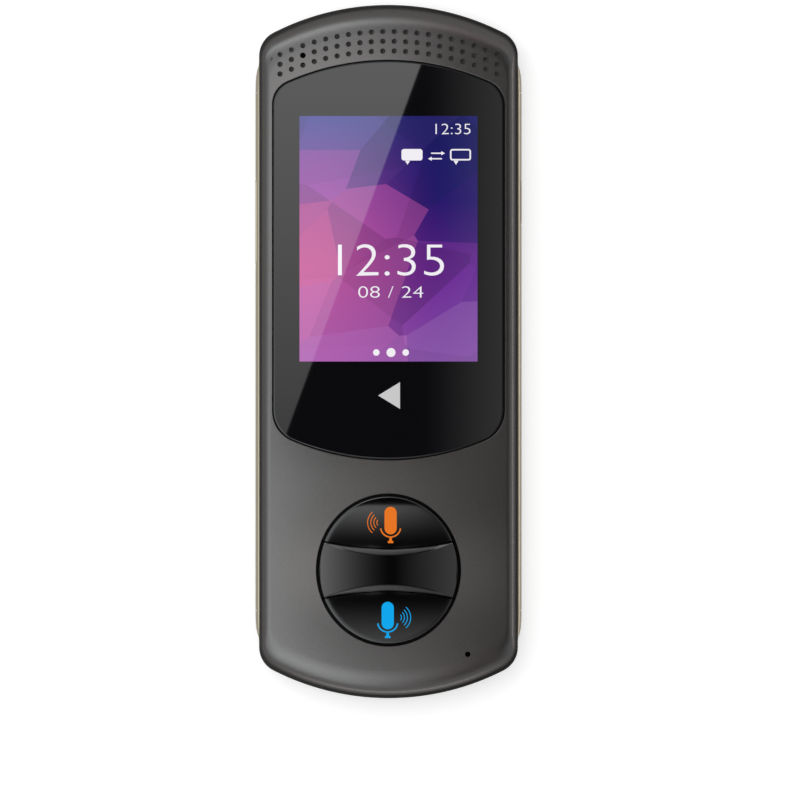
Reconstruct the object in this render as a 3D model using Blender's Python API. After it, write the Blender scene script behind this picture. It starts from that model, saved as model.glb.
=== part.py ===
"""Handheld voice translator: a slim bar with arched ends, a black display window,
an arched speaker grille, and two talk keys above and below a scooped thumb rest.

The device lies on its back. +Z points out of the display, +Y towards the speaker
end, and the origin is the middle of the flat back face. Lengths are in metres.
"""

import math

import bmesh
import bpy
from mathutils import Vector

MM = 0.001

# Case: the outline seen from the front
BODY_WIDTH = 51.8 * MM
BODY_LENGTH = 138.8 * MM
END_RADIUS = 50.0 * MM
CORNER_RADIUS = 5.5 * MM

# Case: the three layers, from the back up
BACK_DEPTH = 3.1 * MM
BAND_HEIGHT = 4.8 * MM
FRONT_DEPTH = 3.9 * MM
FLOOR_THICKNESS = 1.4 * MM
ROOF_THICKNESS = 1.5 * MM
BAND_WALL = 2.3 * MM
BAND_CHAMFER = 0.3 * MM
LIP_THICKNESS = 0.9 * MM
LIP_REACH = 0.6 * MM
SHELL_SIDE_STEP = 0.3 * MM
SHELL_END_STEP = 0.6 * MM
FRONT_ROUND_SIDE = 1.9 * MM
FRONT_ROUND_END = 5.0 * MM
FRONT_ROUND_HEIGHT = 2.6 * MM
BACK_ROUND_SIDE = 3.4 * MM
BACK_ROUND_END = 5.0 * MM
BACK_ROUND_HEIGHT = 2.9 * MM

# Clearances
FIT_GAP = 0.3 * MM
FILM_GAP = 0.1 * MM
PRESS_CLEARANCE = 0.05 * MM
CUT_OVERRUN = 1.0 * MM
JOIN_OVERLAP = 0.4 * MM
SAME_POINT = 0.001 * MM

# Display window and its seat in the front housing
WINDOW_SIDE_MARGIN = 2.9 * MM
WINDOW_TOP_MARGIN = 11.34 * MM
WINDOW_TO_TALK = 22.2 * MM
WINDOW_RADIUS_LESS = 1.0 * MM
WINDOW_TOP_CORNER = 4.8 * MM
WINDOW_LOW_CORNER = 6.3 * MM
GLASS_THICKNESS = 1.0 * MM
GLASS_SUNK = 0.1 * MM
GLASS_EDGE = 0.2 * MM
ADHESIVE_THICKNESS = 0.3 * MM
ADHESIVE_INSET = 0.4 * MM
ADHESIVE_WIDTH = 1.6 * MM
TRAY_FLOOR = 1.2 * MM
TRAY_WALL = 0.8 * MM

# Display module, its ribbon and its socket on the board
DISPLAY_SIDE_BEZEL = 5.2 * MM
DISPLAY_TOP_BEZEL = 6.6925 * MM
DISPLAY_LOW_BEZEL = 19.5 * MM
LCD_BORDER = 2.2 * MM
LCD_CHIN = 4.5 * MM
LCD_THICKNESS = 1.9 * MM
LCD_CORNER = 0.6 * MM
LCD_EDGE = 0.2 * MM
RIBBON_WIDTH = 12.0 * MM
RIBBON_THICKNESS = 0.15 * MM
RIBBON_TUCK = 3.0 * MM
RIBBON_RUN = 5.5 * MM
RIBBON_DROP = 0.15 * MM
LCD_SOCKET_DEPTH = 2.5 * MM
LCD_SOCKET_HEIGHT = 0.7 * MM

# Speaker end: grille, loudspeaker, gasket and cloth
GRILLE_COLUMNS = 20
GRILLE_ROWS = 3
GRILLE_SIDE_MARGIN = 4.2 * MM
GRILLE_TOP_MARGIN = 5.4 * MM
GRILLE_ROW_PITCH = 1.95 * MM
GRILLE_RADIUS_MORE = 3.4 * MM
GRILLE_HOLE_RADIUS = 0.5 * MM
SPEAKER_WIDTH = 20.0 * MM
SPEAKER_LENGTH = 8.0 * MM
SPEAKER_END_MARGIN = 4.9 * MM
SPEAKER_HEIGHT = 3.5 * MM
SPEAKER_CORNER = 1.2 * MM
SPEAKER_EDGE = 0.3 * MM
GASKET_WALL = 0.5 * MM
MESH_THICKNESS = 0.15 * MM
MESH_MARGIN = 0.7 * MM

# Microphones, their sound holes and boots
TOP_MIC_COLUMN = 2
TOP_MIC_ROW = 1
LOW_MIC_FROM_SIDE = 10.06 * MM
LOW_MIC_FROM_END = 5.8973 * MM
MIC_HOLE_RADIUS = 0.55 * MM
MIC_WIDTH = 2.8 * MM
MIC_LENGTH = 2.0 * MM
MIC_HEIGHT = 0.9 * MM
MIC_CORNER = 0.3 * MM
BOOT_RADIUS = 1.5 * MM

# Talk cluster: an oval of two sprung keys with a fixed thumb rest between them
TALK_FROM_END = 25.7 * MM
TALK_HALF_WIDTH = 14.2 * MM
TALK_HALF_LENGTH = 15.0 * MM
TALK_TRAVEL = 0.4 * MM
KEY_FLANGE_REACH = 1.2 * MM
KEY_FLANGE_THICKNESS = 0.7 * MM
KEY_EDGE_ROUND = 0.3 * MM
KEY_CROWN = 0.7 * MM
SEAM_HALF_SPAN = 4.3 * MM
SEAM_RADIUS = 60.0 * MM
SCOOP_DEPTH = 1.3 * MM
SCOOP_LAND = 0.1 * MM
SCOOP_FLANK_WIDTH = 1.3 * MM
WELL_WALL = 0.9 * MM
WELL_REACH = 1.9 * MM
STEM_RADIUS = 1.5 * MM
STEM_OFFSET = 9.5 * MM
KEYPAD_SHEET = 0.3 * MM
KEYPAD_RIM = 1.2 * MM
DOME_RADIUS = 2.5 * MM
DOME_HEIGHT = 0.3 * MM

# Side rails, pressed into channels along the band
RAIL_LIP = 0.7 * MM
RAIL_ROOT_DEPTH = 0.8 * MM
RAIL_BULGE = 0.75 * MM
RAIL_END_MARGIN = 11.4 * MM
RAIL_TAPER = 6.2 * MM

# Side keys and the switches behind them
SIDE_KEY_LIP = 0.85 * MM
SIDE_KEY_PROUD = 0.15 * MM
SIDE_KEY_EDGE = 0.15 * MM
SIDE_KEY_TRAVEL = 0.3 * MM
SIDE_FLANGE_REACH = 0.8 * MM
SIDE_FLANGE_RISE = 0.4 * MM
SIDE_FLANGE_THICKNESS = 0.5 * MM
NUB_REACH = 0.5 * MM
NUB_RADIUS = 0.6 * MM
POWER_KEY_LENGTH = 9.0 * MM
POWER_KEY_FROM_TOP = 39.4 * MM
VOLUME_KEY_LENGTH = 17.0 * MM
VOLUME_KEY_FROM_TOP = 43.4 * MM
VOLUME_NUB_OFFSET = 5.5 * MM
VOLUME_ROCK_DEGREES = 1.5
SWITCH_WIDTH = 2.2 * MM
SWITCH_LENGTH = 3.2 * MM
SWITCH_HEIGHT = 2.4 * MM
SWITCH_CORNER = 0.2 * MM

# Main board, its screws and what it carries
BOARD_THICKNESS = 0.8 * MM
BOARD_EDGE_GAP = 0.4 * MM
BOARD_TO_LCD = 0.7 * MM
BOSS_RADIUS = 1.9 * MM
BOSS_SIDE_MARGIN = 6.0 * MM
BOSS_TOP_MARGIN = 11.2928 * MM
BOSS_MIDDLE_TO_TALK = 30.7 * MM
BOSS_LOW_SIDE_MARGIN = 8.4 * MM
BOSS_LOW_MARGIN = 8.5270 * MM
SCREW_RADIUS = 0.8 * MM
SCREW_HEAD_RADIUS = 1.6 * MM
SCREW_HEAD_HEIGHT = 0.9 * MM
SCREW_HEAD_CHAMFER = 0.2 * MM
SCREW_LENGTH = 2.3 * MM
DRIVE_RADIUS = 0.8 * MM
DRIVE_DEPTH = 0.5 * MM
DRIVE_SIDES = 6
CAN_SIDE_MARGIN = 12.9 * MM
CAN_LENGTH = 26.0 * MM
CAN_HEIGHT = 1.7 * MM
CHIP_SIZE = 11.0 * MM
CHIP_HEIGHT = 0.9 * MM
CHIP_FROM_TOP = 23.4 * MM
ANTENNA_WIDTH = 7.0 * MM
ANTENNA_LENGTH = 2.0 * MM
ANTENNA_HEIGHT = 0.6 * MM
ANTENNA_SIDE_MARGIN = 9.4 * MM
ANTENNA_FROM_TOP = 12.4 * MM
PART_CORNER = 0.4 * MM
PART_EDGE = 0.15 * MM

# Battery, on a foam pad in the back cover
BATTERY_SIDE_MARGIN = 8.9 * MM
BATTERY_TOP_MARGIN = 31.4 * MM
BATTERY_TO_TALK = 27.2 * MM
BATTERY_HEADROOM = 0.6 * MM
BATTERY_CORNER = 2.0 * MM
BATTERY_EDGE = 0.5 * MM
PAD_THICKNESS = 0.4 * MM
PAD_INSET = 3.0 * MM
RIB_THICKNESS = 0.8 * MM
RIB_HEIGHT = 2.0 * MM
RIB_INSET = 6.0 * MM
PLUG_WIDTH = 5.0 * MM
PLUG_DEPTH = 3.0 * MM
PLUG_HEIGHT = 1.4 * MM
PLUG_SIDE_OFFSET = 7.0 * MM
LEAD_WIDTH = 3.0 * MM
LEAD_THICKNESS = 0.8 * MM
LEAD_RUN = 3.2 * MM

# Charging socket at the low end
SOCKET_WIDTH = 8.94 * MM
SOCKET_HEIGHT = 3.26 * MM
SOCKET_LENGTH = 7.3 * MM
SOCKET_WALL = 0.3 * MM
SOCKET_SKIN = 0.8 * MM
MOUTH_MARGIN = 0.1 * MM
MOUTH_DEPTH = 6.0 * MM
TONGUE_WIDTH = 6.7 * MM
TONGUE_THICKNESS = 0.7 * MM
TONGUE_LENGTH = 4.5 * MM

# Facets of arcs and rounds
END_ARC_STEPS = 12
CORNER_ARC_STEPS = 5
ROUND_STEPS = 6
OVAL_STEPS = 44
HOLE_STEPS = 8
PEG_STEPS = 14
SEAM_STEPS = 16
RAIL_ARC_STEPS = 8
SMOOTH_ANGLE = math.radians(35)

# Levels that follow from the stack of layers
HALF_WIDTH = BODY_WIDTH / 2
HALF_LENGTH = BODY_LENGTH / 2
BAND_LOW = BACK_DEPTH + FIT_GAP
BAND_HIGH = BAND_LOW + BAND_HEIGHT
BAND_MIDDLE = (BAND_LOW + BAND_HIGH) / 2
FRONT_LOW = BAND_HIGH + FIT_GAP
FACE_LEVEL = FRONT_LOW + FRONT_DEPTH
ROOF_LEVEL = FACE_LEVEL - ROOF_THICKNESS
GLASS_TOP = FACE_LEVEL - GLASS_SUNK
GLASS_LOW = GLASS_TOP - GLASS_THICKNESS
ADHESIVE_HIGH = GLASS_LOW - FILM_GAP
LEDGE_LEVEL = ADHESIVE_HIGH - ADHESIVE_THICKNESS - FILM_GAP
TRAY_LEVEL = LEDGE_LEVEL - TRAY_FLOOR
LCD_TOP = GLASS_LOW - FIT_GAP
LCD_LOW = LCD_TOP - LCD_THICKNESS
BOARD_TOP = LCD_LOW - BOARD_TO_LCD
BOARD_LOW = BOARD_TOP - BOARD_THICKNESS
UNDER_BOARD = BOARD_LOW - FIT_GAP
ON_BOARD = BOARD_TOP + FILM_GAP
DOME_TOP = ON_BOARD + DOME_HEIGHT
STEM_LOW = DOME_TOP + TALK_TRAVEL + PRESS_CLEARANCE
FLANGE_TOP = ROOF_LEVEL - FIT_GAP
FLANGE_LOW = FLANGE_TOP - KEY_FLANGE_THICKNESS
KEYPAD_TOP = FLANGE_LOW - TALK_TRAVEL - PRESS_CLEARANCE
CROWN_LEVEL = FACE_LEVEL + KEY_CROWN
SPEAKER_TOP = TRAY_LEVEL - FIT_GAP
MESH_TOP = ROOF_LEVEL - FILM_GAP
RAIL_HEIGHT = BAND_HEIGHT - 2 * RAIL_LIP
SIDE_KEY_HEIGHT = RAIL_HEIGHT - 2 * SIDE_KEY_LIP

# Places that follow from the outline
TALK_Y = TALK_FROM_END - HALF_LENGTH
WINDOW_HALF_WIDTH = HALF_WIDTH - WINDOW_SIDE_MARGIN
WINDOW_END_RADIUS = END_RADIUS - WINDOW_RADIUS_LESS
WINDOW_HIGH_Y = HALF_LENGTH - WINDOW_TOP_MARGIN
WINDOW_LOW_Y = TALK_Y + WINDOW_TO_TALK
DISPLAY_HALF_WIDTH = WINDOW_HALF_WIDTH - DISPLAY_SIDE_BEZEL
LCD_HALF_WIDTH = DISPLAY_HALF_WIDTH + LCD_BORDER
WINDOW_ARC_DROP = WINDOW_END_RADIUS - math.sqrt(WINDOW_END_RADIUS**2 - LCD_HALF_WIDTH**2)
DISPLAY_HIGH_Y = WINDOW_HIGH_Y - WINDOW_ARC_DROP - DISPLAY_TOP_BEZEL
DISPLAY_LOW_Y = WINDOW_LOW_Y + DISPLAY_LOW_BEZEL
LCD_HIGH_Y = DISPLAY_HIGH_Y + LCD_BORDER
LCD_LOW_Y = DISPLAY_LOW_Y - LCD_CHIN
BATTERY_HALF_WIDTH = HALF_WIDTH - BATTERY_SIDE_MARGIN
BATTERY_HIGH_Y = HALF_LENGTH - BATTERY_TOP_MARGIN
BATTERY_LOW_Y = TALK_Y + BATTERY_TO_TALK
CAVITY_INSET = BAND_WALL + FIT_GAP + LIP_THICKNESS
BAND_INNER_X = HALF_WIDTH - BAND_WALL
SPEAKER_HIGH_Y = HALF_LENGTH - SPEAKER_END_MARGIN
SPEAKER_LOW_Y = SPEAKER_HIGH_Y - SPEAKER_LENGTH
GRILLE_HALF_SPAN = HALF_WIDTH - GRILLE_SIDE_MARGIN
GRILLE_PITCH = 2 * GRILLE_HALF_SPAN / (GRILLE_COLUMNS - 1)
GRILLE_RADIUS = END_RADIUS + GRILLE_RADIUS_MORE
GRILLE_CENTRE_Y = HALF_LENGTH - GRILLE_TOP_MARGIN - GRILLE_RADIUS
POWER_KEY_Y = HALF_LENGTH - POWER_KEY_FROM_TOP
VOLUME_KEY_Y = HALF_LENGTH - VOLUME_KEY_FROM_TOP
VOLUME_PIVOT_X = BAND_INNER_X - FIT_GAP - SIDE_FLANGE_THICKNESS / 2


def clear_scene():
    """Remove every object of the open scene."""
    for obj in list(bpy.data.objects):
        bpy.data.objects.remove(obj, do_unlink=True)


def make_material(name, colour, roughness, metallic=0.0):
    """Return a Principled material with one colour."""
    material = bpy.data.materials.new(name)
    material.use_nodes = True
    shader = material.node_tree.nodes["Principled BSDF"]
    shader.inputs["Base Color"].default_value = (*colour, 1.0)
    shader.inputs["Roughness"].default_value = roughness
    shader.inputs["Metallic"].default_value = metallic
    return material


def arc(centre, radius, start, end, steps):
    """Return the points of an arc, both ends included."""
    turns = [start + (end - start) * i / steps for i in range(steps + 1)]
    return [(centre[0] + radius * math.cos(t), centre[1] + radius * math.sin(t)) for t in turns]


def bar_outline(half_width, low, high, end_radius, low_corner, high_corner):
    """Return a bar's outline with arched ends and rounded corners, anticlockwise."""
    points = []
    for end, corner, side in ((high, high_corner, 1), (low, low_corner, -1)):
        centre_x = half_width - corner
        rise = math.sqrt((end_radius - corner) ** 2 - centre_x**2)
        end_centre_y = end - side * end_radius
        corner_y = end_centre_y + side * rise
        turn = math.atan2(rise, centre_x)
        base = 0.0 if side > 0 else math.pi
        first = (side * centre_x, corner_y)
        last = (-side * centre_x, corner_y)
        points += arc(first, corner, base, base + turn, CORNER_ARC_STEPS)
        end_arc = arc((0.0, end_centre_y), end_radius, base + turn, base + math.pi - turn, END_ARC_STEPS)
        points += end_arc[1:-1]
        points += arc(last, corner, base + math.pi - turn, base + math.pi, CORNER_ARC_STEPS)
    return points


def body_outline(side_inset, end_inset):
    """Return the case outline, drawn in by the given insets."""
    corner = CORNER_RADIUS - side_inset
    reach = HALF_LENGTH - end_inset
    return bar_outline(HALF_WIDTH - side_inset, -reach, reach, END_RADIUS - end_inset, corner, corner)


def window_outline(growth):
    """Return the window's outline, grown by the given margin."""
    return bar_outline(
        WINDOW_HALF_WIDTH + growth,
        WINDOW_LOW_Y - growth,
        WINDOW_HIGH_Y + growth,
        WINDOW_END_RADIUS + growth,
        WINDOW_LOW_CORNER + growth,
        WINDOW_TOP_CORNER + growth,
    )


def oval_outline(growth):
    """Return the talk cluster's oval, grown by the given margin."""
    half_width = TALK_HALF_WIDTH + growth
    half_length = TALK_HALF_LENGTH + growth
    turns = [math.tau * i / OVAL_STEPS for i in range(OVAL_STEPS)]
    return [(half_width * math.cos(t), TALK_Y + half_length * math.sin(t)) for t in turns]


def rounded_rectangle(centre, half_size, corner, steps=3):
    """Return a rectangle with round corners; full corners make it a pill."""
    points = []
    for quarter, (across, along) in enumerate(((1, 1), (-1, 1), (-1, -1), (1, -1))):
        middle = (
            centre[0] + across * (half_size[0] - corner),
            centre[1] + along * (half_size[1] - corner),
        )
        start = quarter * math.pi / 2
        points += arc(middle, corner, start, start + math.pi / 2, steps)
    following = points[1:] + points[:1]
    return [point for point, after in zip(points, following) if math.dist(point, after) > SAME_POINT]


def circle(centre, radius, steps=PEG_STEPS):
    """Return a circle's points."""
    return arc(centre, radius, 0.0, math.tau, steps)[:-1]


def stand(outline, level, axis="Z"):
    """Place a flat outline at a level along an axis."""
    if axis == "X":
        return [(level, u, v) for u, v in outline]
    if axis == "Y":
        return [(u, level, v) for u, v in outline]
    return [(u, v, level) for u, v in outline]


def loft(bm, rings, closed=False):
    """Skin a row of rings; a closed loft joins the last ring to the first."""
    loops = [[bm.verts.new(point) for point in ring] for ring in rings]
    pairs = list(zip(loops, loops[1:]))
    if closed:
        pairs.append((loops[-1], loops[0]))
    for lower, upper in pairs:
        for i in range(len(lower)):
            j = (i + 1) % len(lower)
            bm.faces.new((lower[i], lower[j], upper[j], upper[i]))
    if not closed:
        bm.faces.new(loops[0])
        bm.faces.new(loops[-1])


def prism(bm, outline, low, high, axis="Z"):
    """Extrude a flat outline between two levels."""
    loft(bm, [stand(outline, low, axis), stand(outline, high, axis)])


def finish_mesh(bm, name, origin=(0.0, 0.0, 0.0)):
    """Turn a bmesh into an object whose origin lies at the given point."""
    bmesh.ops.recalc_face_normals(bm, faces=bm.faces)
    bmesh.ops.translate(bm, verts=bm.verts, vec=-Vector(origin))
    mesh = bpy.data.meshes.new(name)
    bm.to_mesh(mesh)
    bm.free()
    mesh.shade_smooth()
    mesh.set_sharp_from_angle(angle=SMOOTH_ANGLE)
    obj = bpy.data.objects.new(name, mesh)
    obj.location = origin
    bpy.context.scene.collection.objects.link(obj)
    return obj


def add_part(bm, name, material, origin=(0.0, 0.0, 0.0)):
    """Add a finished sub-part and tie it to the device's empty."""
    obj = finish_mesh(bm, name, origin)
    obj.data.materials.append(material)
    obj.parent = bpy.data.objects["device"]
    return obj


def shape(target, operation, bm, name):
    """Cut, join or intersect a part with a hidden tool body."""
    tool = finish_mesh(bm, f"{target.name}_{name}")
    tool.hide_render = True
    tool.display_type = "WIRE"
    modifier = target.modifiers.new(name, "BOOLEAN")
    modifier.operation = operation
    modifier.solver = "EXACT"
    modifier.object = tool


def cut(target, bm, name):
    """Cut a tool body out of a part."""
    shape(target, "DIFFERENCE", bm, name)


def join(target, bm, name):
    """Join a tool body to a part."""
    shape(target, "UNION", bm, name)


def keep(target, bm, name):
    """Keep only what a part shares with a tool body."""
    shape(target, "INTERSECT", bm, name)


def block(bm, centre, half_size, low, high, corner=PART_CORNER, edge=PART_EDGE):
    """Add an upright block with round corners and chamfered top and bottom edges."""
    inner = (half_size[0] - edge, half_size[1] - edge)
    narrow = rounded_rectangle(centre, inner, corner)
    wide = rounded_rectangle(centre, half_size, corner)
    loft(bm, [stand(narrow, low), stand(wide, low + edge), stand(wide, high - edge), stand(narrow, high)])


def grille_point(column, row):
    """Return a grille hole's centre; row 0 is nearest the end of the case."""
    x = column * GRILLE_PITCH - GRILLE_HALF_SPAN
    drop = GRILLE_RADIUS - math.sqrt(GRILLE_RADIUS**2 - x**2)
    return x, GRILLE_CENTRE_Y + GRILLE_RADIUS - drop - row * GRILLE_ROW_PITCH


def along_end(side, side_margin, end_margin):
    """Return a place measured in from the case's right side and one arched end."""
    x = HALF_WIDTH - side_margin
    reach = END_RADIUS - end_margin
    return x, side * (HALF_LENGTH - END_RADIUS + math.sqrt(reach**2 - x**2))


def low_mic_place():
    """Return the low microphone's place."""
    return along_end(-1, LOW_MIC_FROM_SIDE, LOW_MIC_FROM_END)


def boss_places():
    """Return the board screws' places, from the speaker end down."""
    rows = (
        along_end(1, BOSS_SIDE_MARGIN, BOSS_TOP_MARGIN),
        (HALF_WIDTH - BOSS_SIDE_MARGIN, TALK_Y + BOSS_MIDDLE_TO_TALK),
        along_end(-1, BOSS_LOW_SIDE_MARGIN, BOSS_LOW_MARGIN),
    )
    return [(side * x, y) for x, y in rows for side in (-1, 1)]


def round_over(side_round, end_round, height, level, direction):
    """Return the rings of a shell's elliptical round, from its wall to its flat face."""
    rings = []
    for i in range(ROUND_STEPS + 1):
        turn = math.pi / 2 * i / ROUND_STEPS
        side = SHELL_SIDE_STEP + side_round * (1 - math.cos(turn))
        end = SHELL_END_STEP + end_round * (1 - math.cos(turn))
        rings.append(stand(body_outline(side, end), level - direction * height * (1 - math.sin(turn))))
    return rings


def shell_rings(parting, direction, cavity_level, face_level, rounds):
    """Return the rings of a shell from its cavity's end, round its lip, to its face."""
    lip_inset = BAND_WALL + FIT_GAP
    lip_level = parting - direction * LIP_REACH
    cavity = body_outline(CAVITY_INSET, CAVITY_INSET)
    lip = body_outline(lip_inset, lip_inset)
    wall = body_outline(SHELL_SIDE_STEP, SHELL_END_STEP)
    return [
        stand(cavity, cavity_level),
        stand(cavity, lip_level),
        stand(lip, lip_level),
        stand(lip, parting),
        stand(wall, parting),
        *round_over(*rounds, face_level, direction),
    ]


def build_front_housing(material):
    """Front shell with the window tray, grille, key well and screw bosses."""
    rounds = (FRONT_ROUND_SIDE, FRONT_ROUND_END, FRONT_ROUND_HEIGHT)
    bm = bmesh.new()
    loft(bm, shell_rings(FRONT_LOW, 1, ROOF_LEVEL, FACE_LEVEL, rounds))
    housing = add_part(bm, "front_housing", material)
    in_roof = ROOF_LEVEL + JOIN_OVERLAP
    above = FACE_LEVEL + CUT_OVERRUN

    bm = bmesh.new()
    prism(bm, window_outline(FIT_GAP + TRAY_WALL), TRAY_LEVEL, in_roof)
    join(housing, bm, "tray")

    bm = bmesh.new()
    inner = oval_outline(KEY_FLANGE_REACH)
    outer = oval_outline(KEY_FLANGE_REACH + WELL_WALL)
    well_low = ROOF_LEVEL - WELL_REACH
    rings = [stand(outer, well_low), stand(outer, in_roof), stand(inner, in_roof), stand(inner, well_low)]
    loft(bm, rings, closed=True)
    join(housing, bm, "key_well")

    bm = bmesh.new()
    for place in boss_places():
        prism(bm, circle(place, BOSS_RADIUS), BOARD_TOP + FIT_GAP, in_roof)
    join(housing, bm, "bosses")

    bm = bmesh.new()
    prism(bm, window_outline(FIT_GAP), LEDGE_LEVEL, above)
    cut(housing, bm, "window_recess")

    bm = bmesh.new()
    centre = (0.0, (LCD_HIGH_Y + LCD_LOW_Y) / 2)
    half_size = (LCD_HALF_WIDTH + FIT_GAP, (LCD_HIGH_Y - LCD_LOW_Y) / 2 + FIT_GAP)
    opening = rounded_rectangle(centre, half_size, LCD_CORNER + FIT_GAP)
    prism(bm, opening, TRAY_LEVEL - CUT_OVERRUN, LEDGE_LEVEL + CUT_OVERRUN)
    cut(housing, bm, "display_opening")

    bm = bmesh.new()
    prism(bm, oval_outline(FIT_GAP), ROOF_LEVEL - CUT_OVERRUN, above)
    cut(housing, bm, "key_opening")

    bm = bmesh.new()
    for place in boss_places():
        prism(bm, circle(place, SCREW_RADIUS), BOARD_TOP - CUT_OVERRUN, screw_tip() + FILM_GAP)
    cut(housing, bm, "screw_bores")

    bm = bmesh.new()
    for column in range(GRILLE_COLUMNS):
        for row in range(GRILLE_ROWS):
            is_mic = (column, row) == (TOP_MIC_COLUMN, TOP_MIC_ROW)
            radius = MIC_HOLE_RADIUS if is_mic else GRILLE_HOLE_RADIUS
            hole = circle(grille_point(column, row), radius, HOLE_STEPS)
            prism(bm, hole, ROOF_LEVEL - FIT_GAP, above)
    prism(bm, circle(low_mic_place(), MIC_HOLE_RADIUS, HOLE_STEPS), ROOF_LEVEL - FIT_GAP, above)
    cut(housing, bm, "sound_holes")


def build_back_cover(material):
    """Back shell, a shallow tray with a flat face and rounded edges."""
    rounds = (BACK_ROUND_SIDE, BACK_ROUND_END, BACK_ROUND_HEIGHT)
    bm = bmesh.new()
    loft(bm, shell_rings(BACK_DEPTH, -1, FLOOR_THICKNESS, 0.0, rounds))
    cover = add_part(bm, "back_cover", material)

    front = SOCKET_SKIN + FIT_GAP - HALF_LENGTH
    bm = bmesh.new()
    prism(bm, socket_outline(FIT_GAP), front - FIT_GAP, front + SOCKET_LENGTH + FIT_GAP, axis="Y")
    cut(cover, bm, "socket_relief")

    bm = bmesh.new()
    centre_y = (BATTERY_HIGH_Y + BATTERY_LOW_Y) / 2
    half_length = (BATTERY_HIGH_Y - BATTERY_LOW_Y) / 2 - RIB_INSET
    for side in (-1, 1):
        centre = (side * (BATTERY_HALF_WIDTH + FIT_GAP + RIB_THICKNESS / 2), centre_y)
        rib = rounded_rectangle(centre, (RIB_THICKNESS / 2, half_length), RIB_THICKNESS / 4, steps=1)
        prism(bm, rib, FLOOR_THICKNESS - JOIN_OVERLAP, FLOOR_THICKNESS + RIB_HEIGHT)
    join(cover, bm, "battery_ribs")


def side_key_slot(bm, length, y, side):
    """Add the cutter of a side key's slot through the rail and the band."""
    half_size = (length / 2 + FIT_GAP, SIDE_KEY_HEIGHT / 2 + FIT_GAP)
    outline = rounded_rectangle((y, BAND_MIDDLE), half_size, half_size[1], steps=5)
    start = side * (BAND_INNER_X - CUT_OVERRUN)
    end = side * (HALF_WIDTH + RAIL_BULGE + CUT_OVERRUN)
    prism(bm, outline, start, end, axis="X")


def cut_key_slots(target, sides):
    """Cut the side keys' slots on the given sides."""
    bm = bmesh.new()
    for length, y, side in ((POWER_KEY_LENGTH, POWER_KEY_Y, 1), (VOLUME_KEY_LENGTH, VOLUME_KEY_Y, -1)):
        if side in sides:
            side_key_slot(bm, length, y, side)
    cut(target, bm, "key_slots")


def build_mid_frame(material):
    """Band between the shells, with rail channels, key slots and the socket's mouth."""
    outer = body_outline(0.0, 0.0)
    eased = body_outline(BAND_CHAMFER, BAND_CHAMFER)
    inner = body_outline(BAND_WALL, BAND_WALL)
    bm = bmesh.new()
    rings = [
        stand(eased, BAND_LOW),
        stand(outer, BAND_LOW + BAND_CHAMFER),
        stand(outer, BAND_HIGH - BAND_CHAMFER),
        stand(eased, BAND_HIGH),
        stand(inner, BAND_HIGH),
        stand(inner, BAND_LOW),
    ]
    loft(bm, rings, closed=True)
    frame = add_part(bm, "mid_frame", material)

    bm = bmesh.new()
    half_size = (HALF_LENGTH - RAIL_END_MARGIN + FIT_GAP, RAIL_HEIGHT / 2 + FIT_GAP)
    channel = rounded_rectangle((0.0, BAND_MIDDLE), half_size, FIT_GAP, steps=1)
    floor = HALF_WIDTH - RAIL_ROOT_DEPTH - FIT_GAP
    for side in (-1, 1):
        prism(bm, channel, side * floor, side * (HALF_WIDTH + CUT_OVERRUN), axis="X")
    cut(frame, bm, "rail_channels")
    cut_key_slots(frame, (-1, 1))

    bm = bmesh.new()
    pocket = socket_outline(FIT_GAP)
    pocket_floor = SOCKET_SKIN - HALF_LENGTH
    prism(bm, pocket, pocket_floor, BAND_WALL + CUT_OVERRUN - HALF_LENGTH, axis="Y")
    cut(frame, bm, "socket_pocket")

    bm = bmesh.new()
    mouth = socket_outline(MOUTH_MARGIN - SOCKET_WALL)
    prism(bm, mouth, -CUT_OVERRUN - HALF_LENGTH, pocket_floor + CUT_OVERRUN, axis="Y")
    cut(frame, bm, "socket_mouth")


def rail_section(side, y, bulge):
    """Return a rail's D-shaped section at a place along the case."""
    root = HALF_WIDTH - RAIL_ROOT_DEPTH
    half_height = RAIL_HEIGHT / 2
    points = [(side * root, y, BAND_MIDDLE - half_height), (side * root, y, BAND_MIDDLE + half_height)]
    for i in range(RAIL_ARC_STEPS + 1):
        turn = math.pi / 2 - math.pi * i / RAIL_ARC_STEPS
        x = HALF_WIDTH + bulge * math.cos(turn)
        points.append((side * x, y, BAND_MIDDLE + half_height * math.sin(turn)))
    return points


def build_rails(material):
    """Convex metal rails whose ends taper into the band."""
    end = HALF_LENGTH - RAIL_END_MARGIN
    full = end - RAIL_TAPER
    for name, side in (("left_rail", -1), ("right_rail", 1)):
        bm = bmesh.new()
        stations = ((-end, 0.0), (-full, RAIL_BULGE), (full, RAIL_BULGE), (end, 0.0))
        loft(bm, [rail_section(side, y, bulge) for y, bulge in stations])
        cut_key_slots(add_part(bm, name, material), (side,))


def build_window(glass, adhesive):
    """Cover glass with an eased edge, and the frame of adhesive under it."""
    bm = bmesh.new()
    rings = [
        stand(window_outline(0.0), GLASS_LOW),
        stand(window_outline(0.0), GLASS_TOP - GLASS_EDGE),
        stand(window_outline(-GLASS_EDGE), GLASS_TOP),
    ]
    loft(bm, rings)
    add_part(bm, "window_glass", glass)

    outer = window_outline(-ADHESIVE_INSET)
    inner = window_outline(-ADHESIVE_INSET - ADHESIVE_WIDTH)
    low = ADHESIVE_HIGH - ADHESIVE_THICKNESS
    bm = bmesh.new()
    rings = [stand(outer, low), stand(outer, ADHESIVE_HIGH), stand(inner, ADHESIVE_HIGH), stand(inner, low)]
    loft(bm, rings, closed=True)
    add_part(bm, "window_adhesive", adhesive)


def ribbon(bm, path, half_width, thickness, x):
    """Add a flat strip that follows a path in the Y-Z plane."""
    top = [(y, z + thickness) for y, z in path]
    prism(bm, path + top[::-1], x - half_width, x + half_width, axis="X")


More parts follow.
